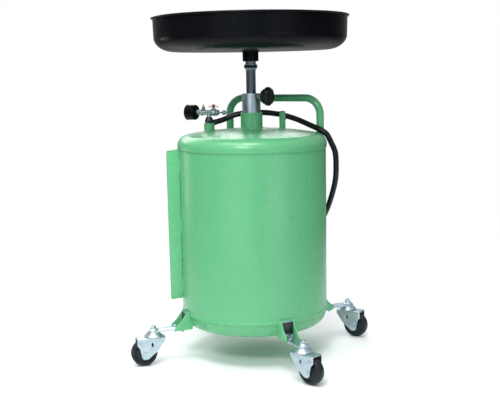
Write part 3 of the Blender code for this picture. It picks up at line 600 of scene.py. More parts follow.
def stand_for(node, mesh, matrix=None):
    """A finer mesh, moved by the matrix, in the place of one node, with its body and finish."""
    if matrix:
        mesh.transform(matrix)
    return place(node + "_fine", mesh, SLOTS[node], BODY_OF[node], node)


def dress(node):
    """A frame node that stays as it is gets its finish."""
    for slot in NODES[node].material_slots:
        slot.material = MATERIALS[SLOTS[node]]


# ---------------- tank

def dished(skirt_r):
    """Radius to the knuckle's centre, and the crown's own radius, of a head with this skirt."""
    centre_r = skirt_r - HEAD_KNUCKLE
    crown = (centre_r ** 2 + HEAD_DISH ** 2 - HEAD_KNUCKLE ** 2) / (2 * (HEAD_DISH - HEAD_KNUCKLE))
    return centre_r, crown


def head_curve(skirt_r, offset, inner_r, steps=14):
    """Dished head above its tangent line at z = 0, from inner_r out to the skirt."""
    centre_r, crown = dished(skirt_r)
    crown_z = HEAD_DISH - crown
    meet = math.atan2(-crown_z, centre_r)
    points = []
    for i in range(steps):
        r = inner_r + ((crown + offset) * math.cos(meet) - inner_r) * i / steps
        points.append((r, crown_z + math.sqrt((crown + offset) ** 2 - r * r)))
    return points + arc((centre_r, 0), HEAD_KNUCKLE + offset, math.degrees(meet), 0, steps)


def top_of_dome():
    """Top of the full dome, which the hole for the guide sleeve cuts off."""
    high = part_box("tank_top_head")[1]
    crown = dished(high.x)[1]
    return high.z + crown - math.sqrt(crown ** 2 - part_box("guide_sleeve")[1].y ** 2)


def on_dome(x, y):
    """The point of the top head's outer face above x and y."""
    centre_r, crown = dished(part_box("tank_top_head")[1].x)
    top = top_of_dome()
    r = math.hypot(x, y)
    if r < crown * centre_r / (crown - HEAD_KNUCKLE):
        return Vector((x, y, top - crown + math.sqrt(crown ** 2 - r * r)))
    rise = math.sqrt(max(0.0, HEAD_KNUCKLE ** 2 - (r - centre_r) ** 2))
    return Vector((x, y, top - HEAD_DISH + rise))


def bead(path, size, closed=False):
    """Painted weld along a path, with ripples that are a little uneven."""
    radii = []
    run = 0.0
    for i, point in enumerate(path):
        if i:
            run += (point - path[i - 1]).length
        ripple = 0.09 * math.sin(2 * math.pi * run / WELD_RIPPLE)
        radii.append(size * (1 + ripple + 0.16 * noise.noise(point * 120)))
    return swept(path, radii, 8, closed)


def straight_bead(path, size):
    """Weld along straight runs, which are split into short steps first."""
    path = [Vector(point) for point in path]
    dense = []
    for a, b in zip(path, path[1:]):
        count = max(1, math.ceil((b - a).length / WELD_STEP))
        dense += [a.lerp(b, i / count) for i in range(count)]
    return bead(dense + [path[-1]], size)


def ring_bead(radius, z, size):
    angles = round_angles(math.ceil(2 * math.pi * radius / WELD_STEP))
    return bead([Vector((radius * math.cos(a), radius * math.sin(a), z)) for a in angles],
                size, True)


def foot_bead(x, y, radius, size, count):
    """Weld where an upright round bar meets the dome."""
    return bead([on_dome(x + radius * math.cos(a), y + radius * math.sin(a))
                 for a in round_angles(count)], size, True)


def tank():
    low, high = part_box("tank_shell")
    r = tank_radius()
    outer = r + SHELL_BEAD
    inner = r - SHELL_WALL
    shell = [(inner, high.z), (r, high.z), (r, low.z + 0.0105), (outer, low.z + 0.0065),
             (outer, low.z + 0.0012), (r + 0.0006, low.z), (inner, low.z)]
    stand_for("tank_shell", turned(shell, TANK_ROUND, 0.0012, 4, ring=True))

    low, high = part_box("tank_top_head")
    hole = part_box("guide_sleeve")[1].y
    tangent = top_of_dome() - HEAD_DISH
    outer, inner = ([(r, z + tangent) for r, z in head_curve(high.x, offset, hole)]
                    for offset in (0.0, -HEAD_WALL))
    skirt = eased([outer[-1], (high.x, low.z), (high.x - HEAD_WALL, low.z), inner[-1]], 0.0007)
    head = turned(outer + skirt[1:-1] + inner[::-1], TANK_ROUND, ring=True)
    stand_for("tank_top_head", head)

    low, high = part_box("tank_bottom_head")
    tangent = low.z + HEAD_DISH
    outer, inner = ([(r, tangent - z) for r, z in head_curve(high.x, offset, 0.0)]
                    for offset in (0.0, -HEAD_WALL))
    skirt = [(high.x - HEAD_WALL, high.z), (high.x, high.z)]
    stand_for("tank_bottom_head", turned(inner + skirt + outer[::-1], TANK_ROUND))


def tank_welds():
    """Beads at the seams, down the shell's rear joint and round each welded-on piece."""
    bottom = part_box("tank_shell")[0].z
    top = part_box("tank_top_head")[0].z
    r = tank_radius()
    seam = math.radians(80)
    rear = [(r * math.cos(seam), r * math.sin(seam), z) for z in (bottom + 0.011, top)]
    boss, bung = (size_of(node).x / 2 for node in ("mast_boss", "valve_bung"))
    at = middle("valve_bung")
    beads = [ring_bead(r + 0.0004, top - 0.0002, 0.0015),
             ring_bead(r - 0.0018, bottom - 0.0002, 0.0016),
             straight_bead(rear, 0.0019),
             foot_bead(0, 0, boss + 0.0004, 0.0026, 200),
             foot_bead(at.x, at.y, bung + 0.0003, 0.0022, 100),
             *[foot_bead(x, y, HANDLE_R + 0.0003, 0.0021, 80) for x, y in handle_feet()]]
    place("tank_weld_beads", joined(*beads), "green_paint", "tank")


def mast_guide():
    low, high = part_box("mast_boss")
    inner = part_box("guide_sleeve")[1].y + SLACK
    stand_for("mast_boss", tube(inner, high.x, low.z - 0.004, high.z, 96, 0.0012, 4))

    low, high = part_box("guide_sleeve")
    r = high.y
    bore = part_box("guide_bush")[1].y + SLACK
    clamp = clamp_frame()
    vent = moved(rod(0.0025, r - 0.004, r + 0.004, 24),
                 shift(0, 0, high.z - 0.0065) @ turn(221) @ LATHE_TO_X)
    hole = moved(rod(SCREW_HOLE_R, bore - 0.008, r + 0.02), clamp)
    sleeve = tube(bore, r, low.z, high.z, 96, 0.0012, 4)
    stand_for("guide_sleeve", shaped(sleeve, [hole, vent]))
    nut = moved(hexagon(0.0100, r - 0.0012, r + 0.0080, SCREW_HOLE_R), clamp)
    place("clamp_nut", nut, "zinc", "tank")

    low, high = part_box("guide_bush")
    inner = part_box("mast_tube")[1].y + SLACK
    hole = moved(rod(SCREW_HOLE_R, inner - 0.002, r, 24), clamp)
    bush = tube(inner, high.y, low.z, high.z, 64, 0.0006)
    stand_for("guide_bush", shaped(bush, [hole]))


# ---------------- clamp, mast and bowl

def clamp_frame():
    """Frame whose Z runs out along the clamp screw from the mast's axis."""
    joint = JOINTS["clamp_turn"]
    return turned_frame(*joint["pos_m"], heading(joint["axis"])) @ LATHE_TO_X


def clamp():
    matrix = clamp_frame()
    low, high = local_box("clamp_screw", matrix)
    stand_for("clamp_screw", screw(0.0050, low.z, high.z, 40), matrix)

    low, high = local_box("clamp_knob", matrix)

    def lobed(a, shrink):
        return 0.0262 - 0.0009 * (1 - math.cos(8 * a)) - shrink

    # millimetres in from the knob's back or front, and off its radius
    back = ((0, 8.5), (0.4, 6.6), (1.4, 5.4), (5.8, 4.6), (7.4, 3.0), (8.8, 1.2), (10.4, 0.3),
            (12.5, 0))
    front = ((5.5, 0), (3.6, 0.8), (1.8, 2.4), (0.6, 4.6), (0, 7.8), (0, 12), (0.7, 13.2),
             (0.7, 17), (0, 18.2))
    levels = ([(low.z + z / 1000, s / 1000) for z, s in back]
              + [(high.z - z / 1000, s / 1000) for z, s in front])
    stand_for("clamp_knob", lofted(levels, lobed, 160), matrix)


def mast():
    low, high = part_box("mast_tube")
    stand_for("mast_tube", tube(MAST_BORE_R, high.y, low.z, high.z, 96, 0.0006))
    inner = high.y + SLACK

    low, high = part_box("mast_cone")
    cone = [(inner, high.z), (high.x, high.z), (high.x, high.z - 0.0010), (0.0146, low.z),
            (inner, low.z)]
    stand_for("mast_cone", turned(cone, 72, 0.0004, ring=True))

    low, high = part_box("union_nut")
    teeth = 18

    def toothed(a, shrink):
        return high.x - 0.0006 + 0.0006 * math.tanh(3 * math.cos(teeth * a)) - shrink

    levels = [(low.z, 0.0012), (low.z + 0.0010, 0.0), (high.z - 0.0012, 0.0), (high.z, 0.0014)]
    stand_for("union_nut", lofted(levels, toothed, 16 * teeth, inner))
    dress("mast_stop_ring")


def bowl_support():
    low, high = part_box("bowl_neck")
    r = high.x
    lip = r + 0.0006
    neck = [(MAST_BORE_R, high.z), (r, high.z), (r, low.z + 0.0030), (lip, low.z + 0.0022),
            (lip, low.z), (MAST_BORE_R, low.z)]
    stand_for("bowl_neck", turned(neck, 64, 0.0004, ring=True))

    low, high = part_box("bowl_socket")
    stand_for("bowl_socket", tube(MAST_BORE_R, high.x, low.z, high.z, 80, 0.0012, 4))
    weld = ring_bead(high.x + 0.0006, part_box("drain_bowl")[0].z - 0.0006, 0.0021)
    place("bowl_socket_weld", weld, "black_enamel", "bowl")


def drain_bowl():
    """Deep pressed bowl with a curled rim, round the drain in its middle."""
    low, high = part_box("drain_bowl")
    wall_r = high.x - 0.0049
    flat_z = low.z + BOWL_CORNER
    reach = wall_r - 0.0015 - BOWL_FLAT_R
    outer = [(MAST_BORE_R, low.z), (0.10, low.z)]
    inner = [(r, z + BOWL_WALL) for r, z in outer]
    steps = 22
    for i in range(steps + 1):
        a = math.radians(90 * i / steps)
        for side, wall in ((outer, 0.0), (inner, BOWL_WALL)):
            side.append((BOWL_FLAT_R + (reach - wall) * math.sin(a),
                         flat_z - (BOWL_CORNER - wall) * math.cos(a)))
    curl = 0.0029
    centre = (high.x - curl, high.z - curl)
    outer.append((wall_r, centre[1] - curl - 0.0006))
    inner.append((wall_r - BOWL_WALL, centre[1] - 0.004))
    profile = outer + arc(centre, curl, -130, 170, 20) + inner[::-1]
    stand_for("drain_bowl", turned(profile, 256, ring=True))


def bowl_strainer():
    """Pressed cup over the drain, with feed slots at its foot and a perforated top."""
    low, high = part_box("bowl_strainer")
    r = high.x
    sheet = 0.0012
    profile = [(0, high.z), (r, high.z, 0.006), (r, low.z), (r - sheet, low.z),
               (r - sheet, high.z - sheet, 0.005), (0, high.z - sheet)]
    slots = [moved(box((0.035, -0.006, low.z - 0.01), (r + 0.01, 0.006, low.z + 0.003)),
                   turn(60 * k + 7.5)) for k in range(6)]
    holes = []
    for row in range(1, 5):
        for a in round_angles(6 * row):
            spot = shift(0.0095 * row * math.cos(a), 0.0095 * row * math.sin(a), 0)
            holes.append(moved(rod(0.0022, high.z - 0.004, high.z + 0.002, 16), spot))
    cup = turned(profile, 96, steps=8)
    stand_for("bowl_strainer", shaped(cup, [*slots, joined(*holes)]))


# ---------------- handle, hook and hose

def handle_feet():
    low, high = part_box("push_handle")
    return (high.x - HANDLE_R, low.y + HANDLE_R), (low.x + HANDLE_R, high.y - HANDLE_R)


def push_handle():
    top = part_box("push_handle")[1].z - HANDLE_R
    first, last = (on_dome(x, y) - Vector((0, 0, 0.003)) for x, y in handle_feet())
    corners = [first, (first.x, first.y, top), (last.x, last.y, top), last]
    stand_for("push_handle", swept(rounded_path(corners, HANDLE_BEND, 28), HANDLE_R, 40))


def hose_hook():
    """Tab with a rounded top, and the seat behind it that carries the hose."""
    stand_for("hose_hook", softened(NODES["hose_hook"].data, 0.0008, 3))


def discharge_hose(path, radius):
    stand_for("discharge_hose", swept(smooth_path(path, 7), radius, 28))
    grips = []
    for i in range(4):
        z = -6 + 4.5 * i
        grips += [(8.2, z), (8.7, z + 1.1), (8.7, z + 2.6), (8.2, z + 3.7)]
    ferrule = [(0, -8), (7.6, -8), *grips, (8.2, 12.5), (6, 13), (5, 13), (5, 20), (3.4, 20.6),
               (0, 20.6)]
    end = Matrix.Translation(path[0]) @ facing((path[0] - path[1]).normalized())
    stand_for("hose_end", turned(mm(ferrule), 40), end)


def outlet_elbow(hose_foot):
    """Screwed elbow low on the rear: a hexagon at the tank, and a crimped sleeve on the hose."""
    low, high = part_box("outlet_elbow")
    out = Vector((hose_foot.x, hose_foot.y, 0))
    radial = out.normalized()
    level = Vector((0, 0, low.z + 0.0095))
    face = tank_radius() + 0.0004
    corners = [radial * face + level, radial * out.length + level,
               radial * out.length + Vector((0, 0, high.z))]
    bend = swept(rounded_path(corners, 0.012, 10), 0.0086, 32)
    collar = moved(hexagon(0.0125, face, face + 0.0086), Matrix.Translation(level) @ facing(radial))
    nut = moved(hexagon(0.0118, 0.0, 0.0110), shift(hose_foot.x, hose_foot.y, high.z - 0.0125))
    sleeve = [(0, 26), (7.8, 26)]
    for i in range(5):
        top = 24.5 - 4.5 * i
        sleeve += [(8.4, top), (8.9, top - 1.2), (8.9, top - 2.6), (8.4, top - 3.6)]
    crimp = turned(mm(sleeve + [(8.4, -1), (0, -1)]), 40)
    crimp.transform(Matrix.Translation(hose_foot))
    stand_for("outlet_elbow", joined(bend, collar, nut, crimp))


# ---------------- air valve group

def valve_frame():
    """Frame of the valve group; X runs from the gauge to the air plug."""
    angle = heading(JOINTS["needle_turn"]["axis"])
    pivot = Vector(JOINTS["lever_turn"]["pos_m"])
    origin = pivot - LEVER_OFFSET * Vector((math.cos(angle), math.sin(angle), 0))
    return turned_frame(*origin, angle)


def valve_group():
    low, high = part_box("valve_bung")
    centre = middle("valve_bung")
    r = size_of("valve_bung").x / 2
    foot = low.z - 0.004
    bung = [(0, high.z), (0.0088, high.z, 0), (0.0088, high.z - 0.0010, 0.0004),
            (r, high.z - 0.0012), (r, foot, 0), (0, foot)]
    stand_for("valve_bung", turned(bung, 56, 0.0012, 4), shift(centre.x, centre.y, 0))
    matrix = valve_frame()
    air_tee(matrix)
    ball_valve(matrix)
    butterfly(matrix)
    relief_valve(matrix)
    air_plug(matrix)
    gauge(matrix)


def air_tee(matrix):
    low, high = local_box("air_tee", matrix)
    r, lip_r, lip = 0.0080, 0.0096, 0.0050
    run = [(0, low.x), (lip_r, low.x), (lip_r, low.x + lip), (r, low.x + 0.0060),
           (r, high.x - 0.0060), (lip_r, high.x - lip), (lip_r, high.x), (0, high.x)]
    stem = rod(0.0062, low.z + 0.016, 0.0)
    stand_for("air_tee", joined(along_x(turned(run, 40, 0.0006)), stem), matrix)
    cone = mm([(0, 17), (8.2, 17), (11.2, 8), (0, 8)], low.z)
    nipple = joined(hexagon(0.0125, low.z, low.z + 0.0086), turned(cone, 48, 0.0012))
    place("tee_nipple", moved(nipple, matrix), "dark_steel", "tank")


def ball_valve(matrix):
    low, high = local_box("valve_body", matrix)
    ends = [along_x(hexagon(0.0106, x, x + 0.0052)) for x in (low.x, high.x - 0.0052)]
    swell = mm([(0, -6.6), *arc((0, 0), 9.8, -42, 42, 12), (0, 6.6)])
    barrel = along_x(turned(swell, 48), (low.x + high.x) / 2)
    bonnet = turned(mm([(0, 12.6), (5, 12.6), (5, 10.6), (6.2, 9.6), (6.2, 5), (0, 5)]), 32, 0.0005)
    bonnet.transform(shift(LEVER_OFFSET, 0, 0))
    stand_for("valve_body", joined(*ends, barrel, bonnet), matrix)
    dress("valve_ball")


def butterfly(matrix):
    """Arched lever with two rounded wings, dipped in vinyl, under its screw."""
    pivot = matrix @ shift(LEVER_OFFSET, 0, 0)
    half_x, half_y, crest = local_box("valve_lever", pivot)[1]
    droop, sheet = 0.0035, 0.0022
    waist = 0.62
    rows, across = 40, 10
    bm = bmesh.new()

    def outline_half(x):
        """Half width of the lever at x: narrow at the stem, round at the wing tips."""
        s = abs(x) / half_x
        swell = waist + (1 - waist) * min(1.0, s / 0.45) ** 2 * (3 - 2 * min(1.0, s / 0.45))
        tip = math.sqrt(max(0.0, 1 - max(0.0, (s - 0.66) / 0.34) ** 2))
        return half_y * swell * max(tip, 0.02)

    def layer(lift):
        grid = []
        for i in range(rows + 1):
            x = half_x * math.sin(math.pi / 2 * (2 * i / rows - 1))
            half = outline_half(x)
            line = []
            for k in range(across + 1):
                t = 2 * k / across - 1
                edge = 1 - 0.45 * max(0.0, (abs(t) - 0.75) / 0.25) ** 2
                z = crest - droop * (x / half_x) ** 2 - sheet / 2 + lift * edge * sheet / 2
                line.append(bm.verts.new((x, half * t, z)))
            grid.append(line)
        for a, b in zip(grid, grid[1:]):
            for k in range(across):
                bm.faces.new((a[k], a[k + 1], b[k + 1], b[k]))
        return ([row[0] for row in grid] + grid[-1][1:] + [row[-1] for row in grid[-2::-1]]
                + grid[0][-2:0:-1])

    rim, low_rim = layer(1), layer(-1)
    for i in range(len(rim)):
        j = (i + 1) % len(rim)
        bm.faces.new((rim[i], rim[j], low_rim[j], low_rim[i]))
    stand_for("valve_lever", finished(bm, math.radians(60)), pivot)
    nut = joined(rod(0.0040, 0.0130, crest - 0.0018, 32, 0.0004),
                 hexagon(0.0046, crest - 0.0004, crest + 0.0022, chamfer=0.0004),
                 rod(0.0018, crest + 0.0016, crest + 0.0032, 20, 0.0003))
    place("lever_nut", moved(nut, pivot), "dark_steel", BODY_OF["valve_lever"])


def relief_valve(matrix):
    low, high = local_box("relief_valve", matrix)
    foot = mm([(1.7, 9.8), (2.6, 9.2), (4.4, 6.4), (4.4, 3), (0, 3)], low.z)
    cap = [(0, high.z), (0.0017, high.z), *foot]
    body = joined(hexagon(0.0056, low.z - 0.0008, low.z + 0.0032), turned(cap, 32, 0.0003))
    body.transform(shift((low.x + high.x) / 2, 0, 0))
    stand_for("relief_valve", body, matrix)


def air_plug(matrix):
    low, high = local_box("air_plug", matrix)
    tail = mm([(0, 4), (2.8, 4.5), (2.8, 19.5), (4, 19.9), (7.2, 20.6), (7.2, 25), (4.6, 26.2),
               (4.6, 30.6), (3.3, 31.4), (3.3, 33.6), (4.6, 34.6), (4.6, 36.6)], low.x)
    mouth = high.x - 0.006
    nose = tail + [(0.0038, high.x), (0.0017, high.x), (0.0017, mouth), (0, mouth)]
    plug = joined(hexagon(0.0086, low.x, low.x + 0.0045), turned(nose, 40, 0.0003))
    stand_for("air_plug", along_x(plug), matrix)


def gauge(matrix):
    """Case 45 mm across and 30 mm deep, with its stem, dial, lens, marks and needle."""
    low, high = local_box("gauge_case", matrix)
    inner_r = 0.0210
    back = low.x + 0.030
    case = [(0, 28.5), (21, 28.5), (21, 1), (20.4, 0), (22, 0), (22.5, 1.2), (22.5, 4.2),
            (21.8, 4.8), (21.8, 27), (19.5, 30), (8.5, 30), (7.8, 32.4), (0, 32.4)]
    stand_for("gauge_case", along_x(turned(mm(case, low.x), 96, 0.0009, 4)), matrix)
    neck = along_x(joined(hexagon(0.0078, back + 0.0020, back + 0.0088),
                          screw(0.0055, back + 0.008, high.x, 32)))
    place("gauge_stem", moved(neck, matrix), "zinc", "tank")
    for node, ease in (("gauge_dial", 0.0), ("gauge_lens", 0.0003)):
        low, high = local_box(node, matrix)
        stand_for(node, along_x(rod(inner_r - SLACK, low.x, high.x, 72, ease)), matrix)
    dial_marks(matrix @ dial_frame(local_box("gauge_dial", matrix)[0].x))
    needle()


def dial_frame(x):
    """Frame on the dial's face: X to the reader's right, Y up, Z out to the reader."""
    return shift(x, 0, 0) @ Matrix(((0, 0, -1, 0), (-1, 0, 0, 0), (0, 1, 0, 0), (0, 0, 0, 1)))


def dial_marks(matrix):
    """Scale from 0 to 10 round its turn, drawn as thin black marks and plain numbers."""
    marks = []
    for i in range(51):
        long, half = (0.0030, 0.00022) if i % 5 == 0 else (0.0016, 0.00012)
        mark = box((0.0192 - long, -half, 0.0), (0.0192, half, 0.00008))
        marks.append(moved(mark, turn(225 - SCALE_TURN * i / 50)))
    for number in range(0, 11, 2):
        a = math.radians(225 - SCALE_TURN * number / 10)
        text = bpy.data.curves.new("number", "FONT")
        text.body = str(number)
        text.size = 0.0042
        text.align_x = "CENTER"
        text.align_y = "CENTER"
        text.extrude = 0.00004
        holder = in_scene("number", text)
        spot = shift(0.0134 * math.cos(a), 0.0134 * math.sin(a), 0.00004)
        marks.append(moved(evaluated(holder), spot))
        bpy.data.objects.remove(holder, do_unlink=True)
    place("gauge_scale", moved(joined(*marks), matrix), "black_plastic", "tank")


def needle():
    """Tapered pointer with a round hub; it rests at the scale's zero."""
    joint = JOINTS["needle_turn"]
    outline = [(-0.3, 16.2), (-0.9, 2), *arc((0, 0), 2.4, 112, 248, 14), (-0.8, -5.5), (0.8, -5.5),
               *arc((0, 0), 2.4, -68, 68, 14), (0.9, 2), (0.3, 16.2)]
    pointer = joined(prism(mm(outline), 0.0005), rod(0.0015, 0.0004, 0.0011, 32, 0.0003))
    stand_for("gauge_needle", pointer, turned_frame(*joint["pos_m"], heading(joint["axis"]))
              @ dial_frame(0.0) @ turn(135) @ shift(0, 0, -0.0002))


# ---------------- level gauge

def level_gauge():
    matrix = turned_frame(0, 0, 0, heading(middle("sight_tube")))
    stand_for("sight_guard", softened(NODES["sight_guard"].data, 0.0007, 3))

    low, high = local_box("sight_tube", matrix)
    bottom, top = low.z, high.z
    radial = (low.x + high.x) / 2
    glass = tube(0.0038, (high.y - low.y) / 2, bottom, top, 40)
    stand_for("sight_tube", glass, matrix @ shift(radial, 0, 0))

    for node, end, up in (("sight_elbow_lower", bottom, True), ("sight_elbow_upper", top, False)):
        low, high = local_box(node, matrix)
        port = low.z + 0.0062 if up else high.z - 0.0062
        corners = [(low.x, 0, port), (radial, 0, port), (radial, 0, end)]
        bend = swept(rounded_path(corners, 0.008, 8), 0.0056, 28)
        gland = moved(hexagon(0.0082, 0.0, 0.0085),
                      shift(radial, 0, end - (0.0065 if up else 0.0020)))
        seat = moved(hexagon(0.0078, low.x, low.x + 0.0050), shift(0, 0, port) @ LATHE_TO_X)
        stand_for(node, joined(bend, gland, seat), matrix)

    low, high = local_box("sight_guard", matrix)
    welds = []
    for side in (-1, 1):
        y = side * (high.y + 0.0006)
        x = math.sqrt(tank_radius() ** 2 - y * y)
        for ends in ((0.05, 0.14), (0.45, 0.55), (0.86, 0.95)):
            line = [(x, y, low.z + (high.z - low.z) * t) for t in ends]
            welds.append(straight_bead(line, 0.0020))
    place("guard_welds", moved(joined(*welds), matrix), "green_paint", "tank")


# ---------------- legs and casters

def legs():
    for number in CASTERS:
        swivel = Vector(JOINTS[f"caster_{number}_swivel"]["pos_m"])
        leg = turned_frame(0, 0, 0, heading(swivel))
        reach = Vector((swivel.x, swivel.y, 0)).length
        leg_bracket(number, leg)
        leg_arm(number, leg, reach)
        arm_bolts(number, leg)
        kingpin(number, leg @ shift(reach, 0, 0))
        hub = Vector(JOINTS[f"wheel_{number}_spin"]["pos_m"])
        trail = hub - swivel
        yaw = turned_frame(swivel.x, swivel.y, 0, heading(trail))
        axle = shift(Vector((trail.x, trail.y, 0)).length, 0, hub.z)
        fork(number, yaw, axle)
        axle_and_wheel(number, yaw @ axle)


def leg_bracket(number, leg):
    node = f"leg_bracket_{number}"
    stand_for(node, softened(NODES[node].data, 0.0008, 3))
    high = local_box(node, leg)[1]
    wall = tank_radius() + SHELL_BEAD - 0.0006
    welds = []
    for y in (-high.y - 0.0004, high.y + 0.0004):
        down = ((wall, high.z - 0.001), (wall, 0.1275), (0.2072, 0.1160), (0.2040, 0.1050),
                (0.2010, 0.0975))
        welds.append(straight_bead([(x, y, z) for x, z in down], 0.0019))
    place(f"bracket_welds_{number}", moved(joined(*welds), leg), "green_paint", "tank")


def leg_arm(number, leg, reach):
    """Strap with a rounded end, bent up against the tank between the bracket's fins, with a dark plate of painted
    shade on its face.
    """
    node = f"leg_arm_{number}"
    low, high = local_box(node, leg)
    half = high.y
    top = low.z + ARM_SHEET
    plate = moved(prism([(low.x, -half), *arc((reach, 0), half, -90, 90, 28), (low.x, half)],
                        ARM_SHEET), shift(0, 0, low.z))
    wall = tank_radius() + SHELL_BEAD + 0.0038
    face = wall + ARM_SHEET
    upstand = box((wall, -half, low.z + 0.001), (face, half, high.z))
    arm = softened(shaped(plate, [upstand], "UNION"), 0.0008, 3)
    hole = moved(rod(0.0056, low.z - 0.01, top + 0.01), shift(reach, 0, 0))
    stand_for(node, shaped(arm, [hole]), leg)
    # painted shade: a dark steel plate on the upstand's face stands in for the shade in the recess between the
    # fins
    shade_plate = softened(box((face + 0.0002, 0.0012 - half, top + 0.0062),
                           (face + 0.0014, half - 0.0012, high.z - 0.0022)), 0.0003)
    place(f"arm_shade_plate_{number}", moved(shade_plate, leg), "dark_steel", "tank")


def arm_bolts(number, leg):
    """Two bolts with washers and nuts, through the arm and the bracket's floor."""
    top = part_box(f"leg_arm_{number}")[0].z + ARM_SHEET
    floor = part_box(f"leg_bracket_{number}")[0].z
    fixings = []
    for x, y in ((0.2275, 0.0065), (0.2440, -0.0050)):
        bolt = joined(rod(0.0072, top, top + 0.0012, 40, 0.0003),
                      hexagon(0.0060, top + 0.0012, top + 0.0055),
                      hexagon(0.0060, floor - 0.0052, floor),
                      screw(0.0030, floor - 0.0085, floor + 0.004, 24, 0.001))
        fixings.append(moved(bolt, shift(x, y, 0)))
    place(f"arm_bolts_{number}", moved(joined(*fixings), leg), "zinc", "tank")


def kingpin(number, matrix):
    """Nut and conical cap on the arm, and the flared upper race and rivet below it."""
    node = f"kingpin_{number}"
    low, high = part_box(node)
    arm_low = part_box(f"leg_arm_{number}")[0].z
    arm_top = arm_low + ARM_SHEET
    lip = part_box(f"caster_fork_{number}")[1].z + 0.0004
    race = [(0, arm_low - SLACK), (0.0168, arm_low - SLACK, 0.0012),
            *mm([(20.5, 7.2, 4), (24.2, 3.6, 3), (26, 2.2, 0.8), (26, 0, 0.3), (24.8, 0), (6, 0)],
                lip),
            *mm([(5, 2.6), (8.6, 2.4, 0.4), (8, 0, 1.2), (0, 0)], low.z)]
    cap = mm([(0, 6.2), (8.6, 6.2, 0.8), (12, 3, 3), (15.4, 1.2, 0.8), (15.4, 0.3), (0, 0.3)],
             arm_top)
    pin = joined(turned(race, 72, steps=6), turned(cap, 64, steps=5),
                 hexagon(0.0082, arm_top + 0.0062, high.z - 0.0027, chamfer=0.0008),
                 screw(0.0050, high.z - 0.006, high.z, 32))
    stand_for(node, pin, matrix)


def fork(number, yaw, axle):
    """Pressed fork: rounded shoulders, a raised lower race and two sides tapering to the axle."""
    node = f"caster_fork_{number}"
    low, high = local_box(node, yaw)
    half = high.y
    front, rear, top = high.x, -low.x, high.z
    edge = math.degrees(math.asin(half / rear))
    plan = [(front, -half), (front, half), *arc((0, 0), rear, 180 - edge, 180 + edge, 20)]
    blank = moved(prism(plan, top - low.z + 0.004), shift(0, 0, low.z - 0.004))
    side = [(-rear - 0.01, top + 0.01, 0), (-rear - 0.01, 0.0765, 0), (-0.0300, 0.0730),
            (-0.0215, 0.0610), (-0.0085, 0.0430), (0.0150, 0.0255), (0.0200, low.z),
            (0.0330, low.z), (0.0370, 0.0265), (0.0432, 0.0560), (front + 0.01, 0.0690, 0),
            (front + 0.01, top + 0.01, 0)]
    side = slab(eased(side, 0.006, 5, True), 0.1)
    blank = shaped(softened(blank, 0.0034, 5, 60), [side], "INTERSECT")
    wide = half - FORK_SHEET
    room = softened(box((-0.1, -wide, -0.1), (0.1, wide, top - FORK_SHEET)), 0.0018, 3)
    axle_hole = moved(rod(0.0046, -0.05, 0.05, 24), axle @ LATHE_TO_Y)
    swivel_hole = rod(0.0056, 0.05, 0.1, 24)
    window = mm([(4.5, 56), (10, 56), (10, 67), (4.5, 67)])
    window = slab(eased(window, 0.0026, 5, True), 0.1)
    grooves = [moved(box((-0.05, -0.0006, 0.0712), (0.07, 0.0006, 0.0720)), shift(0, y, 0))
               for y in (-half, half)]
    pressed = shaped(blank, [room, axle_hole, swivel_hole, window, *grooves])
    stand_for(node, softened(pressed, 0.0004, 2, 42), yaw)


def axle_and_wheel(number, matrix):
    reach = local_box(f"caster_axle_{number}", matrix)[1].y
    shoulder = local_box(f"caster_fork_{number}", matrix)[1].y + 0.0002
    axle = joined(rod(0.0040, -reach + 0.001, reach - 0.001),
                  hexagon(0.0066, shoulder, reach, chamfer=0.0005),
                  hexagon(0.0066, -reach, -shoulder, chamfer=0.0005))
    stand_for(f"caster_axle_{number}", axle, matrix @ LATHE_TO_Y)

    node = f"caster_wheel_{number}"
    hub = local_box(node, matrix)[1].y
    tread = [(11.8, 9.2, 1), (21.5, 8.2, 2), (26.2, 9.2, 1), (27.6, 11.4, 1), (29, 12, 0.6),
             (30, 11.5, 0.2), (31.2, 12, 0.6), (34, 11.7, 2.2), (36.8, 8, 2.2), (37.5, 0, 8)]
    side = [(0.0043, hub, 0.0003), (0.0092, hub, 0.0006), (0.0100, hub - 0.0016, 0.0006),
            *mm(tread)]
    profile = side + [(r, -z, ease) for r, z, ease in side[-2::-1]]
    stand_for(node, turned(profile, 96, steps=5, ring=True), matrix @ LATHE_TO_Y)


# ---------------- stage, light and camera

def floor():
    """Pale floor that thins out into the backdrop's colour far from the object."""
    bm = bmesh.new()
    bmesh.ops.create_circle(bm, cap_ends=True, radius=9.0, segments=128)
    s = Surface("pale_floor", (0.86, 0.87, 0.87), 0.65)
    s.set(Base_Color=ramped(s.tree, s.noise(3, 3), [(0.3, (0.85, 0.86, 0.86)),
                                                   (0.7, (0.88, 0.89, 0.89))]))
    s.bump(0.0003, 0.2, 160, 3)
    length = wired(s.tree, "VectorMath", "Vector", Vector=s.place).node
    length.operation = "LENGTH"
    fade = s.span(length.outputs["Value"], 0.0, 1.0, 0.45, 2.6)
    show_blend(s.tree, fade, s.shader.outputs["BSDF"], wired(s.tree, "BsdfTransparent", "BSDF"))
    piece = in_scene("studio_floor", finished(bm))
    piece.data.materials.append(s.material)
    piece.location = (0, 0, -0.0002)


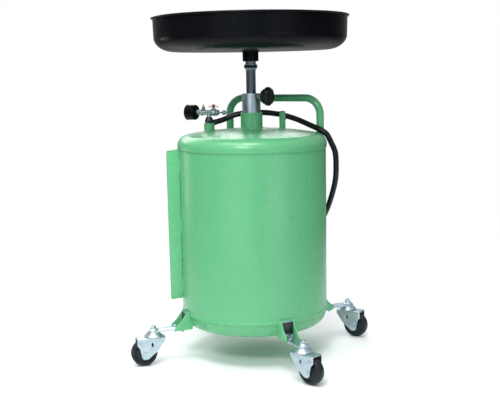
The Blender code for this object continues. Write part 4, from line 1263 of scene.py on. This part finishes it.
def studio_world():
    """Pale backdrop for the eye; reflections see a dim room, lighter ahead, above and behind."""
    world = bpy.data.worlds.new("studio")
    world.use_nodes = True
    bpy.context.scene.world = world
    tree = world.node_tree
    room = tree.nodes["Background"]
    place_at = wired(tree, "TexCoord", "Generated")
    parts = wired(tree, "SeparateXYZ", "X", Vector=place_at).node.outputs
    dark = (0.05, 0.05, 0.055)
    # along Y, 0 is behind the camera and 1 is behind the part
    along = wired(tree, "MapRange", "Result", Value=parts["Y"], From_Min=-1, From_Max=1)
    depth = ramped(tree, along, [(0.0, (0.24, 0.33, 0.44)), (0.07, (0.17, 0.24, 0.33)),
                                 (0.17, dark), (0.66, dark), (0.88, (0.14, 0.15, 0.15)),
                                 (1.0, (0.36, 0.37, 0.37))])
    up = wired(tree, "MapRange", "Result", Value=parts["Z"], From_Min=0, From_Max=1)
    sky = ramped(tree, up, [(0.0, (0, 0, 0)), (0.3, (0.45, 0.47, 0.48)), (1.0, (0.9, 0.92, 0.95))])
    feed(tree, room.inputs["Color"], mixed(tree, 1.0, depth, sky, "ADD"))
    feed(tree, room.inputs["Strength"], 0.8)
    seen = wired(tree, "Background", "Background", Color=(1.0, 1.0, 1.0), Strength=1.0)
    show_blend(tree, wired(tree, "LightPath", "Is Camera Ray"), room.outputs["Background"], seen)


def softbox(name, place_at, aim_z, width, height, power):
    """Rectangular light that is aimed at a height on the part's axis."""
    light = bpy.data.lights.new(name, "AREA")
    light.shape = "RECTANGLE"
    light.size = width
    light.size_y = height
    light.energy = power
    lamp = in_scene(name, light)
    lamp.location = place_at
    aim = Vector((0, 0, aim_z)) - Vector(place_at)
    lamp.rotation_euler = aim.to_track_quat("-Z", "Y").to_euler()


def lights():
    for lamp in (("overhead", (-0.35, -0.40, 2.9), 0.55, 1.6, 2.4, 62),
                 ("key", (-0.12, -1.3, 2.85), 0.62, 0.62, 0.34, 20),
                 ("fill", (-0.55, -2.15, 1.9), 0.64, 0.7, 0.45, 27),
                 ("rear_top", (-0.9, 2.3, 1.95), 0.62, 3.2, 1.2, 38),
                 ("front_left", (-1.5, -3.4, 0.25), 0.30, 2.6, 0.45, 7),
                 ("front_right", (2.2, -3.1, 0.25), 0.30, 2.0, 0.45, 8),
                 ("rear_left", (-2.6, 1.4, 0.32), 0.35, 1.0, 0.55, 3)):
        softbox(*lamp)


def camera():
    eye = bpy.data.cameras.new("camera")
    eye.sensor_width = 36.0
    eye.lens = 63.26
    holder = in_scene("camera", eye)
    holder.location = (-0.0087, -2.503, 0.8126)
    pitch, roll = math.radians(8.4), math.radians(1.03)
    tilt = Matrix.Rotation(math.pi / 2 - pitch, 4, "X") @ Matrix.Rotation(-roll, 4, "Z")
    holder.rotation_euler = tilt.to_euler()
    bpy.context.scene.camera = holder


def build():
    tank()
    tank_welds()
    mast_guide()
    clamp()
    mast()
    bowl_support()
    drain_bowl()
    bowl_strainer()
    push_handle()
    hose_hook()
    path, radius = centreline("discharge_hose", middle("hose_end"))
    discharge_hose(path, radius)
    outlet_elbow(path[-1])
    valve_group()
    level_gauge()
    legs()
    floor()
    studio_world()
    lights()
    camera()
    bpy.context.scene.view_settings.view_transform = "Standard"


build()
